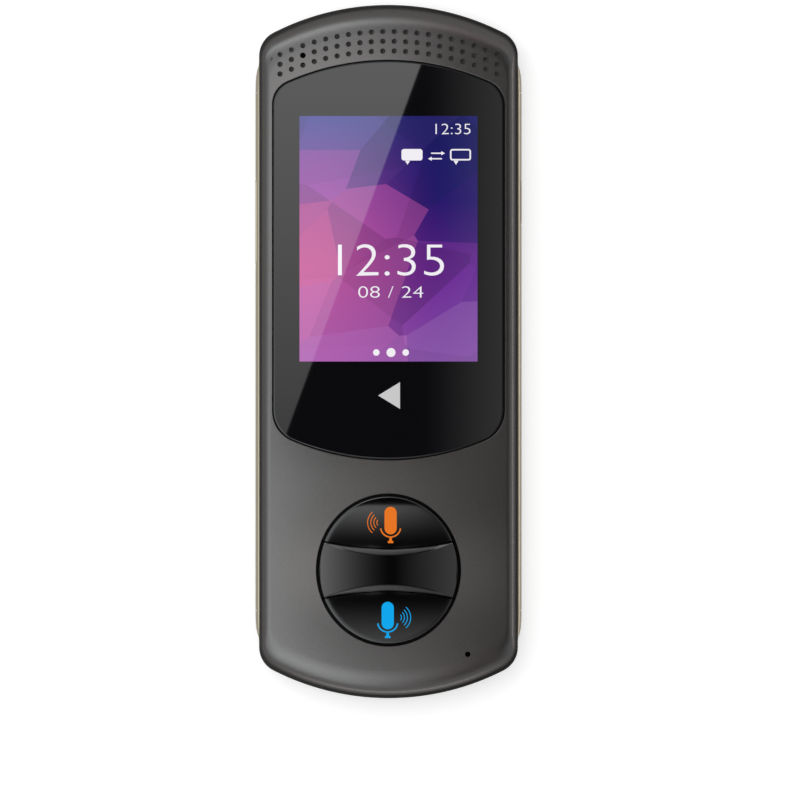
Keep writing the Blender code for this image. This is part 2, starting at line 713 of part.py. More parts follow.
def build_display(panel, film, plastic):
    """Display module, its ribbon and the ribbon's socket on the board."""
    centre = (0.0, (LCD_HIGH_Y + LCD_LOW_Y) / 2)
    half_size = (LCD_HALF_WIDTH, (LCD_HIGH_Y - LCD_LOW_Y) / 2)
    bm = bmesh.new()
    block(bm, centre, half_size, LCD_LOW, LCD_TOP, LCD_CORNER, LCD_EDGE)
    add_part(bm, "lcd_module", panel)

    socket_high_y = LCD_LOW_Y - RIBBON_RUN - FILM_GAP
    upper = LCD_LOW - FILM_GAP - RIBBON_THICKNESS
    lower = upper - RIBBON_DROP
    path = [
        (LCD_LOW_Y + RIBBON_TUCK, upper),
        (LCD_LOW_Y, upper),
        (LCD_LOW_Y - RIBBON_RUN / 2, lower),
        (LCD_LOW_Y - RIBBON_RUN, lower),
    ]
    bm = bmesh.new()
    ribbon(bm, path, RIBBON_WIDTH / 2, RIBBON_THICKNESS, 0.0)
    add_part(bm, "lcd_ribbon", film)

    bm = bmesh.new()
    centre = (0.0, socket_high_y - LCD_SOCKET_DEPTH / 2)
    half_size = (RIBBON_WIDTH / 2 + PART_CORNER, LCD_SOCKET_DEPTH / 2)
    block(bm, centre, half_size, ON_BOARD, ON_BOARD + LCD_SOCKET_HEIGHT)
    add_part(bm, "lcd_socket", plastic)


def build_speaker(case, foam, cloth):
    """Loudspeaker, its gasket and the dust cloth behind the grille."""
    middle_y = (SPEAKER_LOW_Y + SPEAKER_HIGH_Y) / 2
    half_size = (SPEAKER_WIDTH / 2, SPEAKER_LENGTH / 2)
    low = SPEAKER_TOP - SPEAKER_HEIGHT
    bm = bmesh.new()
    block(bm, (0.0, middle_y), half_size, low, SPEAKER_TOP, SPEAKER_CORNER, SPEAKER_EDGE)
    add_part(bm, "speaker", case)

    gasket_low_y = WINDOW_HIGH_Y + FIT_GAP + TRAY_WALL + FIT_GAP
    centre = (0.0, (gasket_low_y + SPEAKER_HIGH_Y) / 2)
    half_size = (SPEAKER_WIDTH / 2, (SPEAKER_HIGH_Y - gasket_low_y) / 2)
    outer = rounded_rectangle(centre, half_size, SPEAKER_CORNER)
    inner_size = (half_size[0] - GASKET_WALL, half_size[1] - GASKET_WALL)
    inner = rounded_rectangle(centre, inner_size, SPEAKER_CORNER - GASKET_WALL)
    low = SPEAKER_TOP + FILM_GAP
    high = MESH_TOP - MESH_THICKNESS - FILM_GAP
    bm = bmesh.new()
    loft(bm, [stand(outer, low), stand(outer, high), stand(inner, high), stand(inner, low)], closed=True)
    add_part(bm, "speaker_gasket", foam)

    mic_x = grille_point(TOP_MIC_COLUMN, TOP_MIC_ROW)[0]
    left_x = mic_x + BOOT_RADIUS + FIT_GAP
    right_x = GRILLE_HALF_SPAN
    wide = GRILLE_RADIUS + MESH_MARGIN
    narrow = GRILLE_RADIUS - (GRILLE_ROWS - 1) * GRILLE_ROW_PITCH - MESH_MARGIN
    start = math.acos(right_x / wide)
    end = math.acos(left_x / wide)
    centre = (0.0, GRILLE_CENTRE_Y)
    strip = arc(centre, wide, start, end, SEAM_STEPS) + arc(centre, narrow, end, start, SEAM_STEPS)
    bm = bmesh.new()
    prism(bm, strip, MESH_TOP - MESH_THICKNESS, MESH_TOP)
    mesh = add_part(bm, "speaker_mesh", cloth)
    edge = CAVITY_INSET + FILM_GAP
    bm = bmesh.new()
    prism(bm, body_outline(edge, edge), MESH_TOP - CUT_OVERRUN, MESH_TOP + CUT_OVERRUN)
    keep(mesh, bm, "cavity")


def build_microphone(name, place, can, rubber):
    """Microphone on the board and the rubber boot up to its sound hole."""
    bm = bmesh.new()
    top = ON_BOARD + MIC_HEIGHT
    block(bm, place, (MIC_WIDTH / 2, MIC_LENGTH / 2), ON_BOARD, top, MIC_CORNER)
    add_part(bm, f"{name}_microphone", can)

    outer = circle(place, BOOT_RADIUS)
    inner = circle(place, MIC_HOLE_RADIUS)
    low = top + FILM_GAP
    high = ROOF_LEVEL - FILM_GAP
    bm = bmesh.new()
    loft(bm, [stand(outer, low), stand(outer, high), stand(inner, high), stand(inner, low)], closed=True)
    add_part(bm, f"{name}_mic_boot", rubber)


def key_blank(bm):
    """Add the crowned oval from which both keys and the thumb rest are divided."""
    skirt = oval_outline(KEY_FLANGE_REACH - FIT_GAP)
    wall = oval_outline(-FIT_GAP)
    rings = [stand(skirt, FLANGE_LOW), stand(skirt, FLANGE_TOP), stand(wall, FLANGE_TOP)]
    for i in range(ROUND_STEPS // 2 + 1):
        turn = math.pi / 2 * i / (ROUND_STEPS // 2)
        inset = KEY_EDGE_ROUND * (1 - math.cos(turn))
        level = FACE_LEVEL - KEY_EDGE_ROUND * (1 - math.sin(turn))
        rings.append(stand(oval_outline(-FIT_GAP - inset), level))
    half_width = TALK_HALF_WIDTH - FIT_GAP - KEY_EDGE_ROUND
    half_length = TALK_HALF_LENGTH - FIT_GAP - KEY_EDGE_ROUND
    for i in range(1, ROUND_STEPS):
        share = 1 - i / ROUND_STEPS
        level = FACE_LEVEL + KEY_CROWN * (1 - share**2)
        turns = [math.tau * k / OVAL_STEPS for k in range(OVAL_STEPS)]
        outline = [
            (half_width * share * math.cos(t), TALK_Y + half_length * share * math.sin(t)) for t in turns
        ]
        rings.append(stand(outline, level))
    loft(bm, rings)


def crown_level(x, y):
    """Return the level of the keys' crown, from a place measured from the oval's middle."""
    across = x / (TALK_HALF_WIDTH - FIT_GAP - KEY_EDGE_ROUND)
    along = y / (TALK_HALF_LENGTH - FIT_GAP - KEY_EDGE_ROUND)
    return FACE_LEVEL + KEY_CROWN * max(0.0, 1 - across**2 - along**2)


def seam_edge(x):
    """Return how far the seam between a key and the thumb rest lies from the oval's middle."""
    return SEAM_HALF_SPAN + SEAM_RADIUS - math.sqrt(SEAM_RADIUS**2 - x**2)


def seam_stations():
    """Return places across the talk cluster, from left to right, past its flange."""
    reach = TALK_HALF_WIDTH + KEY_FLANGE_REACH + CUT_OVERRUN
    return [reach * (2 * i / SEAM_STEPS - 1) for i in range(SEAM_STEPS + 1)]


def build_talk_keys(material):
    """Upper and lower talk key, each a crowned segment with a stem over its dome."""
    far = TALK_HALF_LENGTH + KEY_FLANGE_REACH + CUT_OVERRUN
    for name, side in (("upper_talk_key", 1), ("lower_talk_key", -1)):
        origin = (0.0, TALK_Y + side * STEM_OFFSET, FLANGE_LOW)
        bm = bmesh.new()
        key_blank(bm)
        key = add_part(bm, name, material, origin)

        seam = [(x, TALK_Y + side * (seam_edge(x) + FIT_GAP / 2)) for x in seam_stations()]
        ends = [(seam[-1][0], TALK_Y + side * far), (seam[0][0], TALK_Y + side * far)]
        bm = bmesh.new()
        prism(bm, seam + ends, FLANGE_LOW - CUT_OVERRUN, CROWN_LEVEL + CUT_OVERRUN)
        keep(key, bm, "segment")

        bm = bmesh.new()
        prism(bm, circle((0.0, origin[1]), STEM_RADIUS), STEM_LOW, FLANGE_LOW + JOIN_OVERLAP)
        join(key, bm, "stem")


def build_thumb_rest(material):
    """Fixed rest between the keys, scooped right across with sloped crescent flanks."""
    bm = bmesh.new()
    key_blank(bm)
    rest = add_part(bm, "thumb_rest", material)

    stations = seam_stations()
    far_seam = [(x, TALK_Y + seam_edge(x) - FIT_GAP / 2) for x in stations]
    near_seam = [(x, TALK_Y - seam_edge(x) + FIT_GAP / 2) for x in reversed(stations)]
    bm = bmesh.new()
    prism(bm, far_seam + near_seam, FLANGE_LOW - CUT_OVERRUN, CROWN_LEVEL + CUT_OVERRUN)
    keep(rest, bm, "segment")

    floor_middle = CROWN_LEVEL - SCOOP_DEPTH
    rise = FACE_LEVEL - floor_middle
    reach = TALK_HALF_WIDTH - FIT_GAP
    radius = (reach**2 + rise**2) / (2 * rise)
    top = CROWN_LEVEL + CUT_OVERRUN
    slope = SCOOP_FLANK_WIDTH / SCOOP_DEPTH
    sections = []
    for x in stations:
        floor = floor_middle + radius - math.sqrt(radius**2 - x**2)
        edge = seam_edge(x) - FIT_GAP / 2 - SCOOP_LAND
        foot = edge - slope * (crown_level(x, edge) - floor)
        head = foot + slope * (top - floor)
        sections.append(
            [
                (x, TALK_Y - foot, floor),
                (x, TALK_Y + foot, floor),
                (x, TALK_Y + head, top),
                (x, TALK_Y - head, top),
            ]
        )
    bm = bmesh.new()
    loft(bm, sections)
    cut(rest, bm, "scoop")


def build_keypad(rubber, metal):
    """Rubber seal sheet under the keys, on a rim, and the two snap domes."""
    sheet_low = KEYPAD_TOP - KEYPAD_SHEET
    outer = oval_outline(KEY_FLANGE_REACH - FIT_GAP)
    bm = bmesh.new()
    prism(bm, outer, ON_BOARD, KEYPAD_TOP)
    keypad = add_part(bm, "keypad", rubber)

    bm = bmesh.new()
    prism(bm, oval_outline(KEY_FLANGE_REACH - FIT_GAP - KEYPAD_RIM), ON_BOARD - CUT_OVERRUN, sheet_low)
    cut(keypad, bm, "underside")

    bm = bmesh.new()
    for side in (-1, 1):
        place = (0.0, TALK_Y + side * STEM_OFFSET)
        prism(bm, circle(place, STEM_RADIUS + FIT_GAP), sheet_low - FIT_GAP, KEYPAD_TOP + CUT_OVERRUN)
    cut(keypad, bm, "stem_holes")

    for name, side in (("upper_dome", 1), ("lower_dome", -1)):
        place = (0.0, TALK_Y + side * STEM_OFFSET)
        rings = []
        for i in range(ROUND_STEPS // 2 + 1):
            share = 1 - (i / ROUND_STEPS) ** 2
            height = DOME_HEIGHT * 2 * i / ROUND_STEPS
            rings.append(stand(circle(place, DOME_RADIUS * share), ON_BOARD + height))
        bm = bmesh.new()
        loft(bm, rings)
        add_part(bm, name, metal)


def screw_tip():
    """Return the level of the board screws' tips."""
    return BOARD_TOP + SCREW_LENGTH - BOARD_THICKNESS


def build_board(laminate, steel):
    """Main board, notched round the speaker, and the screws that hold it up."""
    inset = CAVITY_INSET + BOARD_EDGE_GAP
    bm = bmesh.new()
    prism(bm, body_outline(inset, inset), BOARD_LOW, BOARD_TOP)
    board = add_part(bm, "main_board", laminate)

    notch_low = SPEAKER_LOW_Y - BOARD_EDGE_GAP
    centre = (0.0, (notch_low + HALF_LENGTH) / 2)
    half_size = (SPEAKER_WIDTH / 2 + BOARD_EDGE_GAP, (HALF_LENGTH - notch_low) / 2)
    notch = rounded_rectangle(centre, half_size, PART_CORNER)
    bm = bmesh.new()
    prism(bm, notch, BOARD_LOW - CUT_OVERRUN, BOARD_TOP + CUT_OVERRUN)
    cut(board, bm, "speaker_notch")

    bm = bmesh.new()
    for place in boss_places():
        prism(bm, circle(place, SCREW_RADIUS + FIT_GAP), BOARD_LOW - CUT_OVERRUN, BOARD_TOP + CUT_OVERRUN)
    cut(board, bm, "screw_holes")

    for number, place in enumerate(boss_places(), start=1):
        head_top = BOARD_LOW - FILM_GAP
        head_low = head_top - SCREW_HEAD_HEIGHT
        profile = (
            (SCREW_HEAD_RADIUS - SCREW_HEAD_CHAMFER, head_low),
            (SCREW_HEAD_RADIUS, head_low + SCREW_HEAD_CHAMFER),
            (SCREW_HEAD_RADIUS, head_top),
            (SCREW_RADIUS - FILM_GAP, head_top),
            (SCREW_RADIUS - FILM_GAP, screw_tip()),
        )
        bm = bmesh.new()
        loft(bm, [stand(circle(place, radius), level) for radius, level in profile])
        screw = add_part(bm, f"board_screw_{number}", steel)

        bm = bmesh.new()
        drive = circle(place, DRIVE_RADIUS, DRIVE_SIDES)
        prism(bm, drive, head_low - CUT_OVERRUN, head_low + DRIVE_DEPTH)
        cut(screw, bm, "drive_socket")


def build_board_parts(steel, chip, ceramic):
    """Shield can, memory chip and radio antenna."""
    bm = bmesh.new()
    half_size = (HALF_WIDTH - CAN_SIDE_MARGIN, CAN_LENGTH / 2)
    block(bm, (0.0, TALK_Y), half_size, UNDER_BOARD - CAN_HEIGHT, UNDER_BOARD)
    add_part(bm, "shield_can", steel)

    bm = bmesh.new()
    place = (0.0, HALF_LENGTH - CHIP_FROM_TOP)
    block(bm, place, (CHIP_SIZE / 2, CHIP_SIZE / 2), UNDER_BOARD - CHIP_HEIGHT, UNDER_BOARD)
    add_part(bm, "memory_chip", chip)

    bm = bmesh.new()
    place = (HALF_WIDTH - ANTENNA_SIDE_MARGIN, HALF_LENGTH - ANTENNA_FROM_TOP)
    half_size = (ANTENNA_WIDTH / 2, ANTENNA_LENGTH / 2)
    block(bm, place, half_size, ON_BOARD, ON_BOARD + ANTENNA_HEIGHT)
    add_part(bm, "radio_antenna", ceramic)


def build_battery(pouch, foam, plastic, wire):
    """Battery on its foam pad, with a flat lead to its plug under the board."""
    centre = (0.0, (BATTERY_HIGH_Y + BATTERY_LOW_Y) / 2)
    half_size = (BATTERY_HALF_WIDTH, (BATTERY_HIGH_Y - BATTERY_LOW_Y) / 2)
    pad_low = FLOOR_THICKNESS + FIT_GAP
    battery_low = pad_low + PAD_THICKNESS + FIT_GAP
    battery_top = BOARD_LOW - BATTERY_HEADROOM

    bm = bmesh.new()
    block(bm, centre, half_size, battery_low, battery_top, BATTERY_CORNER, BATTERY_EDGE)
    add_part(bm, "battery", pouch)

    bm = bmesh.new()
    pad = rounded_rectangle(centre, (half_size[0] - PAD_INSET, half_size[1] - PAD_INSET), BATTERY_CORNER)
    prism(bm, pad, pad_low, pad_low + PAD_THICKNESS)
    add_part(bm, "battery_pad", foam)

    plug_high_y = BATTERY_LOW_Y - LEAD_RUN - 2 * FIT_GAP
    place = (-PLUG_SIDE_OFFSET, plug_high_y - PLUG_DEPTH / 2)
    bm = bmesh.new()
    block(bm, place, (PLUG_WIDTH / 2, PLUG_DEPTH / 2), UNDER_BOARD - PLUG_HEIGHT, UNDER_BOARD)
    add_part(bm, "battery_plug", plastic)

    level = UNDER_BOARD - PLUG_HEIGHT / 2 - LEAD_THICKNESS / 2
    path = [(BATTERY_LOW_Y - FIT_GAP, level), (plug_high_y + FIT_GAP, level)]
    bm = bmesh.new()
    ribbon(bm, path, LEAD_WIDTH / 2, LEAD_THICKNESS, -PLUG_SIDE_OFFSET)
    add_part(bm, "battery_lead", wire)


def socket_outline(growth):
    """Return the charging socket's end outline in X-Z, grown by a margin."""
    half_size = (SOCKET_WIDTH / 2 + growth, SOCKET_HEIGHT / 2 + growth)
    centre = (0.0, UNDER_BOARD - SOCKET_HEIGHT / 2)
    return rounded_rectangle(centre, half_size, half_size[1], steps=5)


def build_socket(steel):
    """Charging socket: a flat oval shell with a contact tongue inside."""
    front = SOCKET_SKIN + FIT_GAP - HALF_LENGTH
    bm = bmesh.new()
    prism(bm, socket_outline(0.0), front, front + SOCKET_LENGTH, axis="Y")
    socket = add_part(bm, "charging_socket", steel)

    bm = bmesh.new()
    prism(bm, socket_outline(-SOCKET_WALL), front - CUT_OVERRUN, front + MOUTH_DEPTH, axis="Y")
    cut(socket, bm, "mouth")

    bm = bmesh.new()
    centre = (0.0, UNDER_BOARD - SOCKET_HEIGHT / 2)
    half_size = (TONGUE_WIDTH / 2, TONGUE_THICKNESS / 2)
    outline = rounded_rectangle(centre, half_size, FILM_GAP, steps=1)
    prism(bm, outline, front + MOUTH_DEPTH - TONGUE_LENGTH, front + MOUTH_DEPTH + JOIN_OVERLAP, axis="Y")
    join(socket, bm, "tongue")


def side_key(bm, length, y, side, nubs):
    """Add a side key: a pill-shaped cap, a wider inner flange and its nubs."""
    half_height = SIDE_KEY_HEIGHT / 2
    face = HALF_WIDTH + RAIL_BULGE + SIDE_KEY_PROUD
    flange_face = BAND_INNER_X - FIT_GAP
    flange_back = flange_face - SIDE_FLANGE_THICKNESS
    centre = (y, BAND_MIDDLE)
    cap = rounded_rectangle(centre, (length / 2, half_height), half_height, steps=5)
    eased_size = (length / 2 - SIDE_KEY_EDGE, half_height - SIDE_KEY_EDGE)
    eased = rounded_rectangle(centre, eased_size, half_height - SIDE_KEY_EDGE, steps=5)
    flange_size = (length / 2 + SIDE_FLANGE_REACH, half_height + SIDE_FLANGE_RISE)
    flange = rounded_rectangle(centre, flange_size, flange_size[1], steps=5)
    rings = (
        (flange, flange_back),
        (flange, flange_face),
        (cap, flange_face),
        (cap, face - SIDE_KEY_EDGE),
        (eased, face),
    )
    loft(bm, [stand(outline, side * level, axis="X") for outline, level in rings])
    return [(circle((y + offset, BAND_MIDDLE), NUB_RADIUS), flange_back) for offset in nubs]


def build_side_keys(key_metal, switch_plastic):
    """Power key on the right, volume rocker on the left, and their switches."""
    rock = math.tan(math.radians(VOLUME_ROCK_DEGREES)) * VOLUME_NUB_OFFSET
    keys = (
        ("power_key", 1, POWER_KEY_LENGTH, POWER_KEY_Y, (("power_switch", 0.0),), SIDE_KEY_TRAVEL),
        (
            "volume_rocker",
            -1,
            VOLUME_KEY_LENGTH,
            VOLUME_KEY_Y,
            (("volume_up_switch", VOLUME_NUB_OFFSET), ("volume_down_switch", -VOLUME_NUB_OFFSET)),
            rock,
        ),
    )
    for name, side, length, y, switches, travel in keys:
        bm = bmesh.new()
        nubs = side_key(bm, length, y, side, [offset for _, offset in switches])
        origin = (side * VOLUME_PIVOT_X, y, BAND_MIDDLE)
        key = add_part(bm, name, key_metal, origin)
        bm = bmesh.new()
        for outline, back in nubs:
            prism(bm, outline, side * (back - NUB_REACH), side * (back + SIDE_FLANGE_THICKNESS / 2), axis="X")
        join(key, bm, "nubs")
        switch_face = nubs[0][1] - NUB_REACH - travel - PRESS_CLEARANCE
        for switch_name, offset in switches:
            place = (side * (switch_face - SWITCH_WIDTH / 2), y + offset)
            bm = bmesh.new()
            half_size = (SWITCH_WIDTH / 2, SWITCH_LENGTH / 2)
            block(bm, place, half_size, UNDER_BOARD - SWITCH_HEIGHT, UNDER_BOARD, SWITCH_CORNER)
            add_part(bm, switch_name, switch_plastic)


def build_device():
    """Build every sub-part of the translator."""
    clear_scene()
    device = bpy.data.objects.new("device", None)
    bpy.context.scene.collection.objects.link(device)

    shell_paint = make_material("shell_paint", (0.13, 0.125, 0.12), 0.38, 0.45)
    band_plastic = make_material("band_plastic", (0.05, 0.047, 0.045), 0.45)
    rail_metal = make_material("rail_metal", (0.62, 0.56, 0.44), 0.28, 1.0)
    black_glass = make_material("black_glass", (0.01, 0.01, 0.012), 0.05)
    black_gloss = make_material("black_gloss", (0.012, 0.012, 0.013), 0.12)
    rest_satin = make_material("rest_satin", (0.02, 0.02, 0.02), 0.25)
    display_panel = make_material("display_panel", (0.12, 0.08, 0.35), 0.3)
    amber_film = make_material("amber_film", (0.45, 0.22, 0.03), 0.4)
    black_foam = make_material("black_foam", (0.02, 0.02, 0.02), 0.9)
    black_rubber = make_material("black_rubber", (0.03, 0.03, 0.03), 0.8)
    board_green = make_material("board_green", (0.01, 0.12, 0.05), 0.5)
    steel = make_material("steel", (0.6, 0.6, 0.6), 0.3, 1.0)
    chip_black = make_material("chip_black", (0.02, 0.02, 0.02), 0.5)
    ceramic = make_material("ceramic", (0.75, 0.73, 0.68), 0.5)
    silver_pouch = make_material("silver_pouch", (0.55, 0.55, 0.57), 0.35, 0.6)
    white_plastic = make_material("white_plastic", (0.75, 0.75, 0.73), 0.5)

    build_front_housing(shell_paint)
    build_mid_frame(band_plastic)
    build_back_cover(shell_paint)
    build_rails(rail_metal)
    build_window(black_glass, black_foam)
    build_display(display_panel, amber_film, white_plastic)
    build_speaker(chip_black, black_foam, black_rubber)
    build_microphone("top", grille_point(TOP_MIC_COLUMN, TOP_MIC_ROW), steel, black_rubber)
    build_microphone("low", low_mic_place(), steel, black_rubber)
    build_talk_keys(black_gloss)
    build_thumb_rest(rest_satin)
    build_keypad(black_rubber, steel)
    build_board(board_green, steel)
    build_board_parts(steel, chip_black, ceramic)
    build_battery(silver_pouch, black_foam, white_plastic, black_rubber)
    build_socket(steel)
    build_side_keys(rail_metal, chip_black)


build_device()
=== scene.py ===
"""Looks of the handheld translator: its pieces, finishes, lit display and studio.

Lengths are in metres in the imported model's own frame: +Z points out of the display,
+Y towards the speaker end, and the flat back lies on Z = 0.
"""

import logging
import math
from dataclasses import dataclass, field, replace
from enum import Enum
from typing import Dict, List, Mapping, Optional, Sequence, Tuple, Union

import bmesh
import bpy
from bmesh.types import BMesh, BMFace, BMVert
from mathutils import Matrix, Vector


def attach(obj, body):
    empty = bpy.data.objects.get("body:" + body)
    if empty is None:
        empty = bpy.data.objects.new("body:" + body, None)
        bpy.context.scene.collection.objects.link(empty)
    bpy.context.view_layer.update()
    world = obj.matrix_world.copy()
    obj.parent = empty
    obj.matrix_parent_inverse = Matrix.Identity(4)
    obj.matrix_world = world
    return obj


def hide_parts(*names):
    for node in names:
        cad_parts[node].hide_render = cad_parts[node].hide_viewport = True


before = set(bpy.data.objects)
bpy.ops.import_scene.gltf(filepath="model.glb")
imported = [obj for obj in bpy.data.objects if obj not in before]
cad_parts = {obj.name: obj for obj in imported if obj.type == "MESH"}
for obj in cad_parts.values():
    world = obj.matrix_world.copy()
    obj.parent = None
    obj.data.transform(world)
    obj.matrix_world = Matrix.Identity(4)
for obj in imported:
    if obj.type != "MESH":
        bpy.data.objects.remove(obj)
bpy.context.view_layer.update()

MM = 0.001
TINY = 1e-7

# Clearance round a piece, how far joined bodies run into each other, and how far a cutter overruns
GAP = 0.3 * MM
OVERLAP = 0.4 * MM
OVERRUN = 1.0 * MM

LOG = logging.getLogger("translator")

Colour = Tuple[float, float, float]
Pair = Tuple[float, float]
Stop = Tuple[float, Colour]
Number = Union["Signal", float]


class Body(Enum):
    """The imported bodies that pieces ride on."""

    CASE = "case"
    UPPER = "upper_talk"
    LOWER = "lower_talk"
    POWER = "power"
    VOLUME = "volume"


class Slot(Enum):
    """The record's material slots."""

    PAINT = "shell_paint"
    BAND = "band_plastic"
    RAIL = "rail_metal"
    GLASS = "black_glass"
    GLOSS = "black_gloss"
    REST = "rest_satin"
    DISPLAY = "display_panel"
    FILM = "amber_film"
    WHITE = "white_plastic"
    FOAM = "black_foam"
    RUBBER = "black_rubber"
    CLOTH = "grille_cloth"
    BOARD = "board_green"
    STEEL = "steel"
    CHIP = "chip_black"
    CERAMIC = "ceramic"
    POUCH = "silver_pouch"


class Operation(Enum):
    """What a tool body does to a piece."""

    CUT = "DIFFERENCE"
    JOIN = "UNION"
    KEEP = "INTERSECT"


class Signal:
    """One number in a material; maths on it adds the material's Math nodes."""

    def __init__(self, graph: "Graph", socket: bpy.types.NodeSocket) -> None:
        """Wrap a socket of a graph."""
        self.graph = graph
        self.socket = socket

    def __add__(self, other: Number) -> "Signal":
        """Add."""
        return self.graph.maths("ADD", self, other)

    __radd__ = __add__

    def __sub__(self, other: Number) -> "Signal":
        """Subtract."""
        return self.graph.maths("SUBTRACT", self, other)

    def __rsub__(self, other: Number) -> "Signal":
        """Subtract this from a number."""
        return self.graph.maths("SUBTRACT", other, self)

    def __mul__(self, other: Number) -> "Signal":
        """Multiply."""
        return self.graph.maths("MULTIPLY", self, other)

    __rmul__ = __mul__

    def __truediv__(self, other: Number) -> "Signal":
        """Divide."""
        return self.graph.maths("DIVIDE", self, other)

    def __abs__(self) -> "Signal":
        """Drop the sign."""
        return self.graph.maths("ABSOLUTE", self, 0.0)

    def power(self, exponent: float) -> "Signal":
        """Raise to a power."""
        return self.graph.maths("POWER", self, exponent)

    def sine(self) -> "Signal":
        """Take the sine."""
        return self.graph.maths("SINE", self, 0.0)

    def step(self, low: float, high: float) -> "Signal":
        """Rise smoothly from 0 at the low value to 1 at the high one.

        Args:
            low: Where the rise starts.
            high: Where it ends.

        Returns:
            The smooth step.
        """
        settings = {"interpolation_type": "SMOOTHSTEP"}
        inputs = {"Value": self, "From Min": low, "From Max": high}
        node = self.graph.node("ShaderNodeMapRange", settings, inputs)
        return Signal(self.graph, node.outputs[0])


class Graph:
    """A material and the nodes in it."""

    def __init__(self, name: str) -> None:
        """Start a material.

        Args:
            name: The material's name.
        """
        self.material = bpy.data.materials.new(name)
        self.material.use_nodes = True
        self.tree = self.material.node_tree
        self.shader = self.tree.nodes["Principled BSDF"]
        self.place = self.node("ShaderNodeTexCoord").outputs["Object"]

    def feed(self, socket: bpy.types.NodeSocket, value: object) -> None:
        """Set a socket to a value, or link it to a signal or another socket.

        Args:
            socket: The input.
            value: A signal, a socket, a number, a colour or a vector.
        """
        if isinstance(value, Signal):
            value = value.socket
        if isinstance(value, bpy.types.NodeSocket):
            self.tree.links.new(value, socket)
        elif isinstance(value, tuple) and len(value) == 3 and socket.type == "RGBA":
            socket.default_value = (*value, 1.0)
        else:
            socket.default_value = value

    def node(
        self,
        kind: str,
        settings: Optional[Mapping[str, object]] = None,
        inputs: Optional[Mapping[Union[str, int], object]] = None,
    ) -> bpy.types.Node:
        """Add any node.

        Args:
            kind: The node's type name.
            settings: Its settings, set first; "stops" gives a ramp's places and colours.
            inputs: What its sockets take, by name or number.

        Returns:
            The node.
        """
        node = self.tree.nodes.new(kind)
        for name, value in (settings or {}).items():
            if name == "stops":
                elements = node.color_ramp.elements
                while len(elements) < len(value):
                    elements.new(1.0)
                for element, (place, colour) in zip(elements, value):
                    element.position = place
                    element.color = (*colour, 1.0)
            else:
                setattr(node, name, value)
        for name, value in (inputs or {}).items():
            self.feed(node.inputs[name], value)
        return node

    def maths(self, operation: str, first: Number, second: Number) -> Signal:
        """Work on one or two numbers with a Math node's operation."""
        node = self.node("ShaderNodeMath", {"operation": operation}, {0: first, 1: second})
        return Signal(self, node.outputs[0])

    def axes(self, vector: Optional[bpy.types.NodeSocket] = None) -> Tuple[Signal, Signal, Signal]:
        """Split a vector; without one, the place on the piece in millimetres.

        Args:
            vector: The vector, or None.

        Returns:
            Its three numbers.
        """
        if vector is None:
            vector = self.spread((1.0, 1.0, 1.0))
        parts = self.node("ShaderNodeSeparateXYZ", None, {0: vector})
        return tuple(Signal(self, output) for output in parts.outputs)

    def spread(self, scale: Tuple[float, float, float]) -> bpy.types.NodeSocket:
        """Return the place on the piece, in millimetres times a scale.

        Args:
            scale: The scale along each axis.

        Returns:
            The scaled place.
        """
        factors = tuple(value / MM for value in scale)
        node = self.node("ShaderNodeVectorMath", {"operation": "MULTIPLY"}, {0: self.place, 1: factors})
        return node.outputs[0]

    def noise(self, density: float, stretch: Tuple[float, float, float] = (1.0, 1.0, 1.0)) -> Signal:
        """Add a cloudy pattern.

        Args:
            density: Features per millimetre.
            stretch: How much longer features are along each axis.

        Returns:
            The pattern, about 0 to 1.
        """
        where = self.spread(tuple(density / value for value in stretch))
        node = self.node("ShaderNodeTexNoise", None, {"Vector": where, "Scale": 1.0, "Detail": 2.0})
        return Signal(self, node.outputs["Fac"])

    def cells(self, vector: bpy.types.NodeSocket) -> bpy.types.Node:
        """Add flat irregular cells, one unit across, over a place in cell units."""
        settings = {"voronoi_dimensions": "2D"}
        return self.node("ShaderNodeTexVoronoi", settings, {"Vector": vector, "Scale": 1.0})

    def blend(self, share: Number, first: object, second: object) -> bpy.types.NodeSocket:
        """Mix two colours or sockets; the share is the second one's."""
        node = self.node("ShaderNodeMix", {"data_type": "RGBA"}, {0: share, 6: first, 7: second})
        return node.outputs[2]

    def tint(self, colour: object, strength: Number) -> bpy.types.NodeSocket:
        """Multiply a colour or socket by a strength."""
        node = self.node("ShaderNodeVectorMath", {"operation": "SCALE"}, {0: colour, "Scale": strength})
        return node.outputs[0]

    def shade(self, shader: bpy.types.NodeSocket) -> None:
        """Put another shader in place of the usual one."""
        self.tree.nodes.remove(self.shader)
        self.tree.links.new(shader, self.tree.nodes["Material Output"].inputs["Surface"])

    def dress(self, **inputs: object) -> None:
        """Feed the shader's sockets, named with underscores for spaces."""
        for name, value in inputs.items():
            self.feed(self.shader.inputs[name.replace("_", " ")], value)

    def dimple(self, height: Signal, depth: float) -> None:
        """Emboss the surface with a relief of about 0 to 1, to a depth."""
        bump = self.node("ShaderNodeBump", None, {"Strength": 1.0, "Distance": depth, "Height": height})
        self.dress(Normal=bump.outputs[0])


